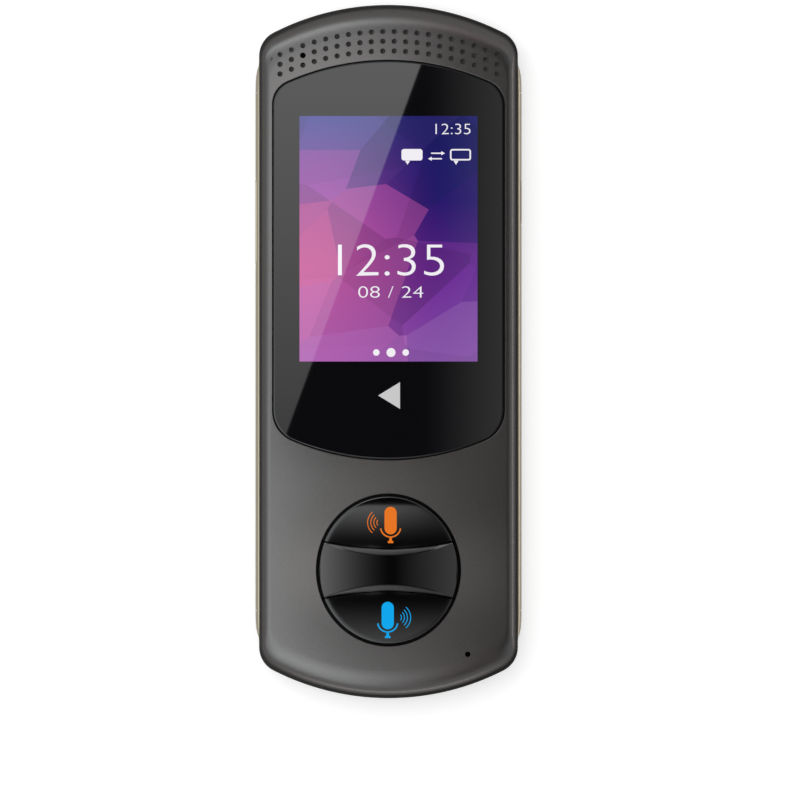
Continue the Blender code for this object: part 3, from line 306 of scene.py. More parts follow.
@dataclass(frozen=True)
class Finish:
    """A surface with a fine grain in its colour, gloss and relief."""

    name: str
    slot: Slot
    colour: Colour
    roughness: float
    metallic: float = 0.0
    coat: float = 0.0
    grain: float = 6.0
    mottle: float = 0.1
    drift: float = 0.05
    index: float = 1.5
    edge: Colour = (1.0, 1.0, 1.0)
    depth: float = 0.002 * MM
    stretch: Tuple[float, float, float] = (1.0, 1.0, 1.0)

    def material(self) -> bpy.types.Material:
        """Return the material, made when first asked for."""
        made = bpy.data.materials.get(self.name)
        if made is None:
            graph = Graph(self.name)
            graph.dress(Metallic=self.metallic, Coat_Weight=self.coat)
            graph.dress(IOR=self.index, Specular_Tint=self.edge)
            self.surface(graph)
            made = graph.material
        return made

    def surface(self, graph: Graph) -> None:
        """Add the grain.

        Args:
            graph: The material's graph.
        """
        speck = graph.noise(self.grain, self.stretch)
        shade = graph.tint(self.colour, 1.0 + (speck - 0.5) * self.mottle)
        graph.dress(Base_Color=shade, Roughness=self.roughness + (speck - 0.5) * self.drift)
        graph.dimple(speck, self.depth)


@dataclass(frozen=True)
class FlakePaint(Finish):
    """Satin paint with metal flakes under it; heights and places are in millimetres."""

    flake: float = 0.16
    flake_density: float = 9.0
    # Bare dark plastic inside the shells; the same colour is laid over the window's eased rim as painted
    # shade.
    bare: Colour = (0.024, 0.024, 0.024)
    bare_dull: float = 0.4
    cavity_side: Pair = (23.5, 23.55)
    cavity_end: Pair = (46.0, 46.1)
    cavity_top: Pair = (58.6, 58.7)
    cavity_floor: Pair = (1.2, 1.25)
    rim: float = 12.12
    # How far the bare level is raised over the window's eased rim, as painted shade, and along which places.
    window_rim_shade: float = 0.2
    window_rim_shade_end: Pair = (-24.0, -22.5)
    # Painted shade: how much darker the side walls of both shells are painted towards the parting line, and
    # where; none at the low end.
    flank_painted_light: float = 0.4
    parting_shade_middle: float = 5.8
    parting_shade_fade: Pair = (4.6, 5.5)
    parting_shade_end: Pair = (-66.0, -62.0)

    def inside(self, graph: Graph) -> Signal:
        """Return 1 on the bare plastic inside the shells and in their openings, and on the window's eased rim
        as painted shade, and 0 outside.

        Args:
            graph: The material's graph.

        Returns:
            The mask.
        """
        x, y, z = graph.axes()
        end = abs(y) - (BODY.high - BODY.end_radius) / MM
        arched = (x * x + end * end).step(*(radius**2 for radius in self.cavity_end))
        within = (1.0 - abs(x).step(*self.cavity_side)) * (1.0 - arched) * (1.0 - y.step(*self.cavity_top))
        # Painted shade: the bare level is raised over the window's eased rim to darken it.
        rim = self.rim + y.step(*self.window_rim_shade_end) * self.window_rim_shade
        return within * z.step(*self.cavity_floor) * (rim - z).step(0.0, 0.05)

    def surface(self, graph: Graph) -> None:
        """Add flakes that differ in tone, a soft orange peel, and painted shade on the side walls towards the
        parting line.

        Args:
            graph: The material's graph.
        """
        flakes = graph.cells(graph.spread((self.flake_density,) * 3))
        tone = graph.axes(flakes.outputs["Color"])[0]
        peel = graph.noise(self.grain)
        bare = self.inside(graph)
        _, y, z = graph.axes()
        # Painted shade on the side walls towards the parting line, left out at the low end.
        flank_painted_light = (1.0 - abs(z - self.parting_shade_middle).step(*self.parting_shade_fade)) * y.step(*self.parting_shade_end)
        sparkle = (tone - 0.5) * self.flake + (peel - 0.5) * self.mottle
        shine = (1.0 + sparkle) * (1.0 - flank_painted_light * self.flank_painted_light)
        shade = graph.tint(self.colour, shine)
        graph.dress(
            Base_Color=graph.blend(bare, shade, self.bare),
            Roughness=self.roughness + (tone - 0.5) * self.drift + bare * self.bare_dull,
            Metallic=self.metallic - bare * self.metallic,
        )
        graph.dimple(peel, self.depth)


@dataclass(frozen=True)
class Cloth(Finish):
    """Fine woven cloth."""

    def surface(self, graph: Graph) -> None:
        """Weave threads along both axes.

        Args:
            graph: The material's graph.
        """
        x, y, _ = graph.axes()
        warp = abs((x * self.grain).sine())
        weft = abs((y * self.grain).sine())
        weave = warp * weft
        graph.dress(Base_Color=graph.tint(self.colour, 0.4 + weave), Roughness=self.roughness)
        graph.dimple(weave, self.depth)


@dataclass(frozen=True)
class Bevelled(Finish):
    """Polished black whose flanks beside the talk keys are satin and painted lighter grey as a highlight,
    darker towards the right.
    """

    # Colour of the painted highlight on the flanks.
    satin: Colour = (0.068, 0.068, 0.068)
    satin_dull: float = 0.3
    blur: float = 0.35
    tips: Pair = (0.02, 0.2)
    # Painted shade across the flank highlight: where it starts, where it ends, and how much darker the right
    # is.
    shade: Tuple[float, float, float] = (-9.0, 11.0, 0.5)
    skirt: Pair = (11.2, 11.5)
    skirt_dull: float = 0.85

    def surface(self, graph: Graph) -> None:
        """Tell the flanks from the floor by their distance from the seams, and paint them lighter as a
        highlight that fades towards the right.

        Args:
            graph: The material's graph.
        """
        x, y, z = graph.axes()
        hollow = 1.0 - x * x / (TALK.half_width / MM) ** 2
        seam = x * x * (0.5 * MM / TALK.seam_radius) + (TALK.seam_span - TALK.gap / 2) / MM
        out = abs(y - TALK.centre_y / MM) - seam
        depth = hollow * (TALK.scoop_depth / MM)
        band = (out + depth).step(0.0, self.blur) * (1.0 - out.step(-self.blur, 0.0))
        left, right, fall = self.shade
        # Painted highlight on the flanks, darker towards the right.
        flank_painted_light = band * hollow.step(*self.tips) * (1.0 - x.step(left, right) * fall)
        fleck = graph.noise(self.grain)
        skirt = 1.0 - z.step(*self.skirt)
        polish = (flank_painted_light * self.satin_dull + fleck * self.drift) * (1.0 - skirt)
        graph.dress(
            Base_Color=graph.blend(flank_painted_light, self.colour, self.satin),
            Roughness=self.roughness + polish + skirt * self.skirt_dull,
        )


@dataclass(frozen=True)
class Polished(Finish):
    """Black polish down to a level, a dull skirt or edge below it, and a rim colour that paints a highlight
    on the rounded rim.
    """

    shine: Pair = (11.6, 11.9)
    # Colour of the painted highlight on the rounded rim, where it is lighter than the base.
    rim: Colour = (0.004, 0.004, 0.005)
    rim_highlight_level: Pair = (12.1, 12.4)
    rim_highlight_blur: Pair = (0.05, 0.03)
    # Painted shade across the rim highlight: where it starts, where it ends, and how much darker the right
    # is.
    shade: Tuple[float, float, float] = (-8.0, 10.0, 0.6)
    skirt_dull: float = 0.85

    def surface(self, graph: Graph) -> None:
        """Dull the surface below the shine, and paint a highlight on the rounded rim that fades towards the
        right.

        Args:
            graph: The material's graph.
        """
        x, _, z = graph.axes()
        fleck = graph.noise(self.grain)
        polish = z.step(*self.shine)
        low, high = self.rim_highlight_level
        left, right, fall = self.shade
        # Painted highlight on the rounded rim, darker towards the right.
        rim = z.step(low - self.rim_highlight_blur[0], low) * (1.0 - z.step(high - self.rim_highlight_blur[1], high))
        rim = rim * (1.0 - x.step(left, right) * fall)
        plain = graph.tint(self.colour, 1.0 + (fleck - 0.5) * self.mottle)
        graph.dress(
            Base_Color=graph.blend(rim, plain, self.rim),
            Roughness=self.skirt_dull + polish * (self.roughness - self.skirt_dull + fleck * self.drift),
        )


@dataclass(frozen=True)
class TrackRun:
    """Copper tracks that run one way, in scattered patches."""

    bend: float
    waves: float
    edge: Pair
    patch_density: float
    patch_edge: Pair

    def lay(self, graph: Graph, place: Signal, wander: Signal) -> Signal:
        """Return 1 on the tracks and 0 between, for places across them and a pattern that bends them."""
        lines = ((place + wander * self.bend) * self.waves).sine().step(*self.edge)
        return lines * graph.noise(self.patch_density).step(*self.patch_edge)


@dataclass(frozen=True)
class SolderMask(Finish):
    """Circuit board with copper tracks under green mask and bare plated pads."""

    covered: Colour = (0.03, 0.24, 0.09)
    plating: Colour = (0.75, 0.58, 0.25)
    plating_gloss: float = 0.2
    wander_density: float = 0.12
    along: TrackRun = TrackRun(6.0, 5.2, (0.55, 0.75), 0.3, (0.42, 0.5))
    across: TrackRun = TrackRun(5.0, 4.4, (0.6, 0.8), 0.22, (0.5, 0.56))
    via_density: float = 0.5
    via_edge: Pair = (0.08, 0.12)

    def surface(self, graph: Graph) -> None:
        """Draw tracks, vias and pads.

        Args:
            graph: The material's graph.
        """
        x, y, _ = graph.axes()
        wander = graph.noise(self.wander_density)
        tracks = self.along.lay(graph, x, wander)
        cross = self.across.lay(graph, y, wander)
        copper = tracks + cross * (1.0 - tracks)
        cells = graph.cells(graph.spread((self.via_density,) * 3))
        vias = 1.0 - Signal(graph, cells.outputs["Distance"]).step(*self.via_edge)
        masked = graph.blend(copper, self.colour, self.covered)
        graph.dress(
            Base_Color=graph.blend(vias, masked, self.plating),
            Roughness=self.roughness - vias * self.plating_gloss,
            Metallic=vias,
        )
        graph.dimple(copper + vias, self.depth)


@dataclass(frozen=True)
class RibbonFilm(Finish):
    """Amber film with copper lines along it."""

    copper: Colour = (0.75, 0.33, 0.08)
    waves: float = 12.0
    line_edge: Pair = (-0.1, 0.3)

    def surface(self, graph: Graph) -> None:
        """Draw the lines.

        Args:
            graph: The material's graph.
        """
        x, _, _ = graph.axes()
        lines = (x * self.waves).sine().step(*self.line_edge)
        graph.dress(Base_Color=graph.blend(lines, self.colour, self.copper), Roughness=self.roughness)
        graph.dimple(lines, self.depth)


@dataclass(frozen=True)
class Print(Finish):
    """Flat bright print or a lit mark."""

    glow: float = 0.0

    def surface(self, graph: Graph) -> None:
        """Lay the colour down evenly, with a faint fleck.

        Args:
            graph: The material's graph.
        """
        fleck = graph.noise(self.grain)
        shade = graph.tint(self.colour, 1.0 + (fleck - 0.5) * self.mottle)
        graph.dress(Base_Color=graph.tint(shade, 1.0 - self.glow), Emission_Color=shade)
        graph.dress(Roughness=self.roughness, Emission_Strength=self.glow)


@dataclass(frozen=True)
class Picture(Finish):
    """Lit picture of soft colour, broken into flat facets; its edges are in millimetres."""

    left: float = -17.8
    right: float = 17.8
    low: float = -2.0
    high: float = 47.1
    warm: Sequence[Stop] = (
        (0.0, (0.46, 0.13, 0.47)),
        (0.4, (0.66, 0.12, 0.37)),
        (0.72, (0.32, 0.07, 0.36)),
        (1.0, (0.04, 0.07, 0.32)),
    )
    cool: Sequence[Stop] = (
        (0.0, (0.23, 0.09, 0.36)),
        (0.35, (0.13, 0.02, 0.27)),
        (0.65, (0.012, 0.006, 0.14)),
        (1.0, (0.004, 0.01, 0.11)),
    )
    cool_side: Pair = (0.0, 0.85)
    slant: Pair = (0.8, 0.6)
    broad: Pair = (0.05, 0.1)
    fine: Pair = (0.055, 0.08)
    light: Pair = (0.74, 0.42)

    def wash(self, graph: Graph, x: Signal, y: Signal) -> bpy.types.NodeSocket:
        """Colour a place by how far across and up the display it lies.

        Args:
            graph: The material's graph.
            x: The place across, in millimetres.
            y: The place along, in millimetres.

        Returns:
            The colour.
        """
        across = (x - self.left) / (self.right - self.left)
        up = (y - self.low) / (self.high - self.low)
        near = graph.node("ShaderNodeValToRGB", {"stops": self.warm}, {0: up}).outputs[0]
        far = graph.node("ShaderNodeValToRGB", {"stops": self.cool}, {0: up}).outputs[0]
        return graph.blend(across.step(*self.cool_side), near, far)

    def surface(self, graph: Graph) -> None:
        """Lay facets of two sizes over the smooth wash.

        Args:
            graph: The material's graph.
        """
        x, y, _ = graph.axes()
        cosine, sine = self.slant
        along, across = self.broad
        turned = {0: (x * cosine + y * sine) * along, 1: (y * cosine - x * sine) * across}
        broad = graph.cells(graph.node("ShaderNodeCombineXYZ", None, turned).outputs[0])
        p, q, _ = graph.axes(broad.outputs["Position"])
        p, q = p / along, q / across
        facet = self.wash(graph, p * cosine - q * sine, p * sine + q * cosine)
        fine = graph.cells(graph.spread((*self.fine, 1.0)))
        sheen = graph.axes(fine.outputs["Color"])[0]
        lit = graph.blend(0.5, self.wash(graph, x, y), facet)
        dark, spread = self.light
        graph.dress(Base_Color=(0.0, 0.0, 0.0), Roughness=self.roughness)
        graph.dress(Emission_Color=graph.tint(lit, dark + sheen * spread), Emission_Strength=1.0)


# Its material paints shade on the side walls towards the parting line and on the window's eased rim.
PAINT = FlakePaint(
    "satin flake paint",
    Slot.PAINT,
    (0.122, 0.116, 0.113),
    0.33,
    metallic=0.95,
    grain=2.5,
    mottle=0.03,
    edge=(0.35, 0.35, 0.35),
)
BAND = Finish("moulded band", Slot.BAND, (0.024, 0.0225, 0.0215), 0.6, index=1.28, grain=9.0)
RAIL = Finish(
    "champagne anodised",
    Slot.RAIL,
    (0.48, 0.42, 0.315),
    0.3,
    metallic=1.0,
    grain=14.0,
    drift=0.14,
    stretch=(1.0, 30.0, 1.0),
)
GLASS = Polished(
    "black cover glass", Slot.GLASS, (0.004, 0.004, 0.005), 0.03, grain=0.4, drift=0.01, shine=(12.28, 12.3)
)
# Its lighter rim colour is a painted highlight on the keys' rounded edge.
GLOSS = Polished(
    "piano black", Slot.GLOSS, (0.0015, 0.0015, 0.0015), 0.06, grain=0.8, drift=0.02, rim=(0.08, 0.08, 0.08)
)
# Its flanks carry a painted highlight.
REST = Bevelled("polished rest", Slot.REST, (0.0015, 0.0015, 0.0015), 0.05, grain=0.8, drift=0.01)
PICTURE = Picture("lit picture", Slot.DISPLAY, (0.2, 0.1, 0.4), 0.03)
WHITE_MARK = Print("lit white mark", Slot.DISPLAY, (0.88, 0.86, 0.9), 0.03, mottle=0.02, glow=1.0)
GREY_MARK = Print("grey mark", Slot.GLASS, (0.66, 0.66, 0.66), 0.03, mottle=0.02)
ORANGE = Print("orange print", Slot.GLOSS, (0.87, 0.195, 0.016), 0.5, index=1.15, mottle=0.05)
BLUE = Print("blue print", Slot.GLOSS, (0.001, 0.42, 0.92), 0.5, index=1.15, mottle=0.05)
FOAM = Finish("closed foam", Slot.FOAM, (0.02, 0.02, 0.02), 0.92, grain=5.0, mottle=0.6, depth=0.05 * MM)
RUBBER = Finish("moulded rubber", Slot.RUBBER, (0.014, 0.014, 0.015), 0.7, grain=7.0, depth=0.008 * MM)
CLOTH = Cloth("dust cloth", Slot.CLOTH, (0.22, 0.22, 0.22), 0.85, grain=16.0, depth=0.03 * MM)
BOARD = SolderMask("green solder mask", Slot.BOARD, (0.008, 0.10, 0.035), 0.4, depth=0.01 * MM)
STEEL = Finish(
    "brushed steel",
    Slot.STEEL,
    (0.58, 0.57, 0.55),
    0.3,
    metallic=1.0,
    grain=12.0,
    drift=0.16,
    stretch=(12.0, 1.0, 1.0),
)
DARK_STEEL = replace(STEEL, name="dark plated steel", colour=(0.2, 0.2, 0.21))
MEMBRANE = replace(STEEL, name="black membrane", colour=(0.003, 0.003, 0.003), metallic=0.0, roughness=0.9)
GOLD = replace(STEEL, name="gold plate", colour=(0.86, 0.62, 0.24), roughness=0.22)
CHIP = Finish(
    "moulded epoxy", Slot.CHIP, (0.022, 0.022, 0.024), 0.55, grain=10.0, mottle=0.3, depth=0.006 * MM
)
PORT = replace(CHIP, name="black moulding", colour=(0.012, 0.012, 0.012), roughness=0.5)
CERAMIC = Finish("fired ceramic", Slot.CERAMIC, (0.7, 0.68, 0.62), 0.45, grain=5.0, mottle=0.12)
POUCH = Finish(
    "foil pouch", Slot.POUCH, (0.5, 0.5, 0.53), 0.33, metallic=0.7, grain=0.7, mottle=0.14, depth=0.12 * MM
)
WHITE = Finish("natural nylon", Slot.WHITE, (0.72, 0.71, 0.67), 0.5, grain=4.0, mottle=0.06)
FILM = RibbonFilm("amber ribbon", Slot.FILM, (0.35, 0.14, 0.02), 0.35, depth=0.004 * MM)


def spin(bm: BMesh, vert: BMVert, centre: Vector, angle: float, steps: int) -> BMVert:
    """Draw an arc about +Z from a vertex, in steps, and return its last vertex."""
    turned = bmesh.ops.spin(bm, geom=[vert], cent=centre, axis=(0.0, 0.0, 1.0), angle=angle, steps=steps)
    return next(item for item in turned["geom_last"] if isinstance(item, BMVert))


def upward(face: BMFace) -> BMFace:
    """Make a level face look up.

    Args:
        face: The face.

    Returns:
        The same face.
    """
    face.normal_update()
    if face.normal.z < 0.0:
        face.normal_flip()
    return face


def fill(bm: BMesh) -> BMFace:
    """Fill the outline that a mesh holds with one face that looks up."""
    return upward(bmesh.ops.contextual_create(bm, geom=bm.edges[:])["faces"][0])


class Outline:
    """A closed flat shape that a body is grown from."""

    centre: Pair
    half_width: float
    half_length: float

    def draw(self, bm: BMesh) -> BMFace:
        """Draw the shape at Z = 0 and return its face."""
        raise NotImplementedError

    def grown(self, margin: float) -> "Outline":
        """Return the shape with a margin round it."""
        raise NotImplementedError


@dataclass(frozen=True)
class Bar(Outline):
    """A bar with arched ends and round corners."""

    half_width: float
    low: float
    high: float
    end_radius: float
    low_corner: float
    high_corner: float
    end_steps: int = 36
    corner_steps: int = 14

    @property
    def centre(self) -> Pair:
        """Return the bar's middle."""
        return (0.0, (self.high + self.low) / 2)

    @property
    def half_length(self) -> float:
        """Return half the bar's length."""
        return (self.high - self.low) / 2

    def grown(self, margin: float) -> "Bar":
        """Return the bar with a margin round it.

        Args:
            margin: The margin.

        Returns:
            The new outline.
        """
        return replace(
            self,
            half_width=self.half_width + margin,
            low=self.low - margin,
            high=self.high + margin,
            end_radius=self.end_radius + margin,
            low_corner=self.low_corner + margin,
            high_corner=self.high_corner + margin,
        )

    def draw(self, bm: BMesh) -> BMFace:
        """Spin half of each end, join the halves and mirror them.

        Args:
            bm: An empty mesh.

        Returns:
            The face.
        """
        sides = []
        for side, end, corner in ((1, self.high, self.high_corner), (-1, self.low, self.low_corner)):
            across = self.half_width - corner
            rise = math.sqrt((self.end_radius - corner) ** 2 - across**2)
            turn = math.atan2(rise, across)
            middle = Vector((0.0, end - side * self.end_radius, 0.0))
            crest = bm.verts.new((0.0, end, 0.0))
            vert = spin(bm, crest, middle, -side * (math.pi / 2 - turn), self.end_steps)
            knee = middle + Vector((across, side * rise, 0.0))
            sides.append(spin(bm, vert, knee, -side * turn, self.corner_steps))
        bm.edges.new(sides)
        half = bm.verts[:] + bm.edges[:]
        bmesh.ops.mirror(bm, geom=half, matrix=Matrix.Identity(4), merge_dist=TINY, axis="X")
        return fill(bm)


@dataclass(frozen=True)
class Oval(Outline):
    """An ellipse."""

    centre: Pair
    half_width: float
    half_length: float
    steps: int = 160

    def grown(self, margin: float) -> "Oval":
        """Return the ellipse with a margin round it."""
        return replace(self, half_width=self.half_width + margin, half_length=self.half_length + margin)

    def draw(self, bm: BMesh) -> BMFace:
        """Scale a round disc.

        Args:
            bm: An empty mesh.

        Returns:
            The face.
        """
        size = Matrix.Diagonal((self.half_width, self.half_length, 1.0, 1.0))
        place = Matrix.Translation((*self.centre, 0.0)) @ size
        made = bmesh.ops.create_circle(bm, cap_ends=True, segments=self.steps, radius=1.0, matrix=place)
        return upward(made["verts"][0].link_faces[0])


@dataclass(frozen=True)
class Box(Outline):
    """A rectangle with round corners; full corners make it a pill."""

    centre: Pair
    half_width: float
    half_length: float
    corner: float
    steps: int = 10

    def grown(self, margin: float) -> "Box":
        """Return the rectangle with a margin round it.

        Args:
            margin: The margin.

        Returns:
            The new outline.
        """
        return replace(
            self,
            half_width=self.half_width + margin,
            half_length=self.half_length + margin,
            corner=max(self.corner + margin, TINY),
        )

    def draw(self, bm: BMesh) -> BMFace:
        """Spin a corner and mirror it twice.

        Args:
            bm: An empty mesh.

        Returns:
            The face.
        """
        across = self.half_width - self.corner
        along = self.half_length - self.corner
        start = bm.verts.new((self.half_width, along, 0.0))
        end = spin(bm, start, Vector((across, along, 0.0)), math.pi / 2, self.steps)
        for vert, axis in ((start, 1), (end, 0)):
            if vert.co[axis] > TINY:
                middle = vert.co.copy()
                middle[axis] = 0.0
                bm.edges.new((vert, bm.verts.new(middle)))
        for axis in "XY":
            quarter = bm.verts[:] + bm.edges[:]
            bmesh.ops.mirror(bm, geom=quarter, matrix=Matrix.Identity(4), merge_dist=TINY, axis=axis)
        bmesh.ops.dissolve_limit(bm, angle_limit=TINY, verts=bm.verts[:], edges=bm.edges[:])
        bmesh.ops.translate(bm, verts=bm.verts[:], vec=(*self.centre, 0.0))
        return fill(bm)


class Stack:
    """A body grown from a flat face, ring by ring."""

    def __init__(self, outline: Outline, level: float) -> None:
        """Lay the first ring; later ones are scaled about the outline's middle.

        Args:
            outline: The body's outline.
            level: The height of the first ring.
        """
        self.bm = bmesh.new()
        self.face = outline.draw(self.bm)
        self.centre = Vector((*outline.centre, 0.0))
        self.level = level
        self.risen = False
        bmesh.ops.translate(self.bm, verts=self.face.verts[:], vec=(0.0, 0.0, level))

    def rise(self, level: float, across: float = 1.0, along: float = 1.0) -> "Stack":
        """Grow another ring.

        Args:
            level: Its height.
            across: Its width as a share of the last ring's.
            along: Its length as a share of the last ring's.

        Returns:
            The same stack.
        """
        last = self.face
        grown = bmesh.ops.extrude_face_region(self.bm, geom=[last])
        self.face = next(item for item in grown["geom"] if isinstance(item, BMFace))
        if self.risen:
            bmesh.ops.delete(self.bm, geom=[last], context="FACES_ONLY")
        self.risen = True
        verts = self.face.verts[:]
        bmesh.ops.translate(self.bm, verts=verts, vec=(0.0, 0.0, level - self.level))
        if (across, along) != (1.0, 1.0):
            space = Matrix.Translation(-self.centre)
            bmesh.ops.scale(self.bm, vec=(across, along, 1.0), space=space, verts=verts)
        self.level = level
        return self

    def round_over(self, half: Pair, inset: Pair, height: float, steps: int) -> "Stack":
        """Round the rim off to a flat face.

        Args:
            half: The last ring's half width and half length.
            inset: How far the flat face is drawn in along each.
            height: How far it rises; below zero it sinks.
            steps: How many rings the round has.

        Returns:
            The same stack.
        """
        start = self.level
        last = half
        for i in range(1, steps + 1):
            turn = math.pi / 2 * i / steps
            ring = tuple(size - draw * (1.0 - math.cos(turn)) for size, draw in zip(half, inset))
            self.rise(start + height * math.sin(turn), ring[0] / last[0], ring[1] / last[1])
            last = ring
        return self


Shape = Union[Stack, BMesh]


class Solid:
    """A closed piece that tools cut, join or trim."""

    def __init__(self, name: str, source: Shape, place: Optional[Matrix] = None) -> None:
        """Make an object of a mesh.

        Args:
            name: The piece's name.
            source: The stack or mesh that it is made of.
            place: Where the mesh is put, if not where it is.
        """
        bm = source.bm if isinstance(source, Stack) else source
        if place is not None:
            bmesh.ops.transform(bm, matrix=place, verts=bm.verts[:])
        bmesh.ops.recalc_face_normals(bm, faces=bm.faces[:])
        mesh = bpy.data.meshes.new(name)
        bm.to_mesh(mesh)
        bm.free()
        self.obj = bpy.data.objects.new(name, mesh)
        bpy.context.scene.collection.objects.link(self.obj)

    def work(self, operation: Operation, source: Shape, place: Optional[Matrix] = None) -> "Solid":
        """Cut, join or trim the piece with a tool body.

        Args:
            operation: What the tool does.
            source: The tool's stack or mesh.
            place: Where the tool is put, if not where it is.

        Returns:
            The same piece.
        """
        tool = Solid(f"{self.obj.name}_tool", source, place).obj
        modifier = self.obj.modifiers.new("tool", "BOOLEAN")
        modifier.operation = operation.value
        modifier.solver = "EXACT"
        modifier.object = tool
        shaped = self.obj.evaluated_get(bpy.context.evaluated_depsgraph_get())
        old, self.obj.data = self.obj.data, bpy.data.meshes.new_from_object(shaped)
        self.obj.modifiers.clear()
        bpy.data.meshes.remove(old)
        bpy.data.objects.remove(tool)
        return self

    def cut(self, source: Shape, place: Optional[Matrix] = None) -> "Solid":
        """Cut a tool out of the piece."""
        return self.work(Operation.CUT, source, place)

    def join(self, source: Shape, place: Optional[Matrix] = None) -> "Solid":
        """Join a tool to the piece."""
        return self.work(Operation.JOIN, source, place)

    def keep(self, source: Shape, place: Optional[Matrix] = None) -> "Solid":
        """Keep what the piece shares with a tool."""
        return self.work(Operation.KEEP, source, place)

    def settle(self, finish: Finish, body: Body, *nodes: str, crease: float = 32.0) -> bpy.types.Object:
        """Finish the piece and set it on its body.

        Args:
            finish: Its surface.
            body: The body that it rides on.
            *nodes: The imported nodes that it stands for.
            crease: The angle, in degrees, past which an edge stays sharp.

        Returns:
            The piece's object.
        """
        bm = bmesh.new()
        bm.from_mesh(self.obj.data)
        bmesh.ops.remove_doubles(bm, verts=bm.verts[:], dist=TINY)
        bmesh.ops.dissolve_degenerate(bm, edges=bm.edges[:], dist=TINY)
        bm.to_mesh(self.obj.data)
        bm.free()
        mesh = self.obj.data
        mesh.materials.clear()
        mesh.materials.append(finish.material())
        mesh.shade_smooth()
        mesh.set_sharp_from_angle(angle=math.radians(crease))
        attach(self.obj, body.value)
        if nodes:
            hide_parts(*nodes)
        LOG.info("%s rides on %s in %s", self.obj.name, body.value, finish.name)
        return self.obj


def pour(drawn: BMesh, into: BMesh) -> None:
    """Move one mesh's faces into another, and free it.

    Args:
        drawn: The mesh that is used up.
        into: The mesh that takes them.
    """
    mesh = bpy.data.meshes.new("poured")
    drawn.to_mesh(mesh)
    drawn.free()
    into.from_mesh(mesh)
    bpy.data.meshes.remove(mesh)


def merged(*stacks: Stack) -> BMesh:
    """Gather stacks into one mesh.

    Args:
        *stacks: The stacks, which are used up.

    Returns:
        The mesh that holds them all.
    """
    whole = bmesh.new()
    for stack in stacks:
        pour(stack.bm, whole)
    return whole


def patch(bm: BMesh, outline: Outline, rim: float = 0.0, fan: bool = False) -> None:
    """Add a flat patch.

    Args:
        bm: The mesh that takes it.
        outline: Its outline.
        rim: The width of the frame that is left of it, or 0 for all of it.
        fan: Whether its face is split into a fan, so that it can bend.
    """
    drawn = bmesh.new()
    face = outline.draw(drawn)
    if rim:
        bmesh.ops.inset_region(drawn, faces=[face], thickness=rim, use_even_offset=True, use_boundary=True)
        bmesh.ops.delete(drawn, geom=[face], context="FACES_ONLY")
    if fan:
        bmesh.ops.poke(drawn, faces=[face])
    pour(drawn, bm)


def arched_strip(bm: BMesh, centre: Pair, radii: Pair, start: float, turn: float, steps: int) -> None:
    """Add a flat strip along an arc.

    Args:
        bm: The mesh that takes it.
        centre: The arc's centre.
        radii: The strip's inner and outer radius.
        start: Where it starts, in degrees from +X.
        turn: How far it turns, in degrees.
        steps: How many faces it has.
    """
    middle = Vector((*centre, 0.0))
    way = Vector((math.cos(math.radians(start)), math.sin(math.radians(start)), 0.0))
    verts = [bm.verts.new(middle + way * radius) for radius in radii]
    strip = verts + [bm.edges.new(verts)]
    bmesh.ops.spin(bm, geom=strip, cent=middle, axis=(0.0, 0.0, 1.0), angle=math.radians(turn), steps=steps)


def thicken(bm: BMesh) -> List[BMVert]:
    """Extrude every face in place and return the new vertices, which are still to be raised."""
    grown = bmesh.ops.extrude_face_region(bm, geom=bm.faces[:])
    return [item for item in grown["geom"] if isinstance(item, BMVert)]


def sideways(side: int) -> Matrix:
    """Return the turn that lays a stack's length along Y and its height out along X on one side."""
    return Matrix(((0.0, 0.0, side, 0.0), (side, 0.0, 0.0, 0.0), (0.0, 1.0, 0.0, 0.0), (0.0, 0.0, 0.0, 1.0)))


def slab(bm: BMesh, low: float, high: float) -> None:
    """Thicken flat faces at Z = 0 into a slab between two heights.

    Args:
        bm: The mesh that holds them.
        low: The lower height.
        high: The upper height.
    """
    raised = thicken(bm)
    bmesh.ops.translate(bm, verts=bm.verts[:], vec=(0.0, 0.0, low))
    bmesh.ops.translate(bm, verts=raised, vec=(0.0, 0.0, high - low))


def endways() -> Matrix:
    """Return the turn that lays a stack's height along Y and its length up along Z."""
    return Matrix(((1.0, 0.0, 0.0, 0.0), (0.0, 0.0, 1.0, 0.0), (0.0, 1.0, 0.0, 0.0), (0.0, 0.0, 0.0, 1.0)))


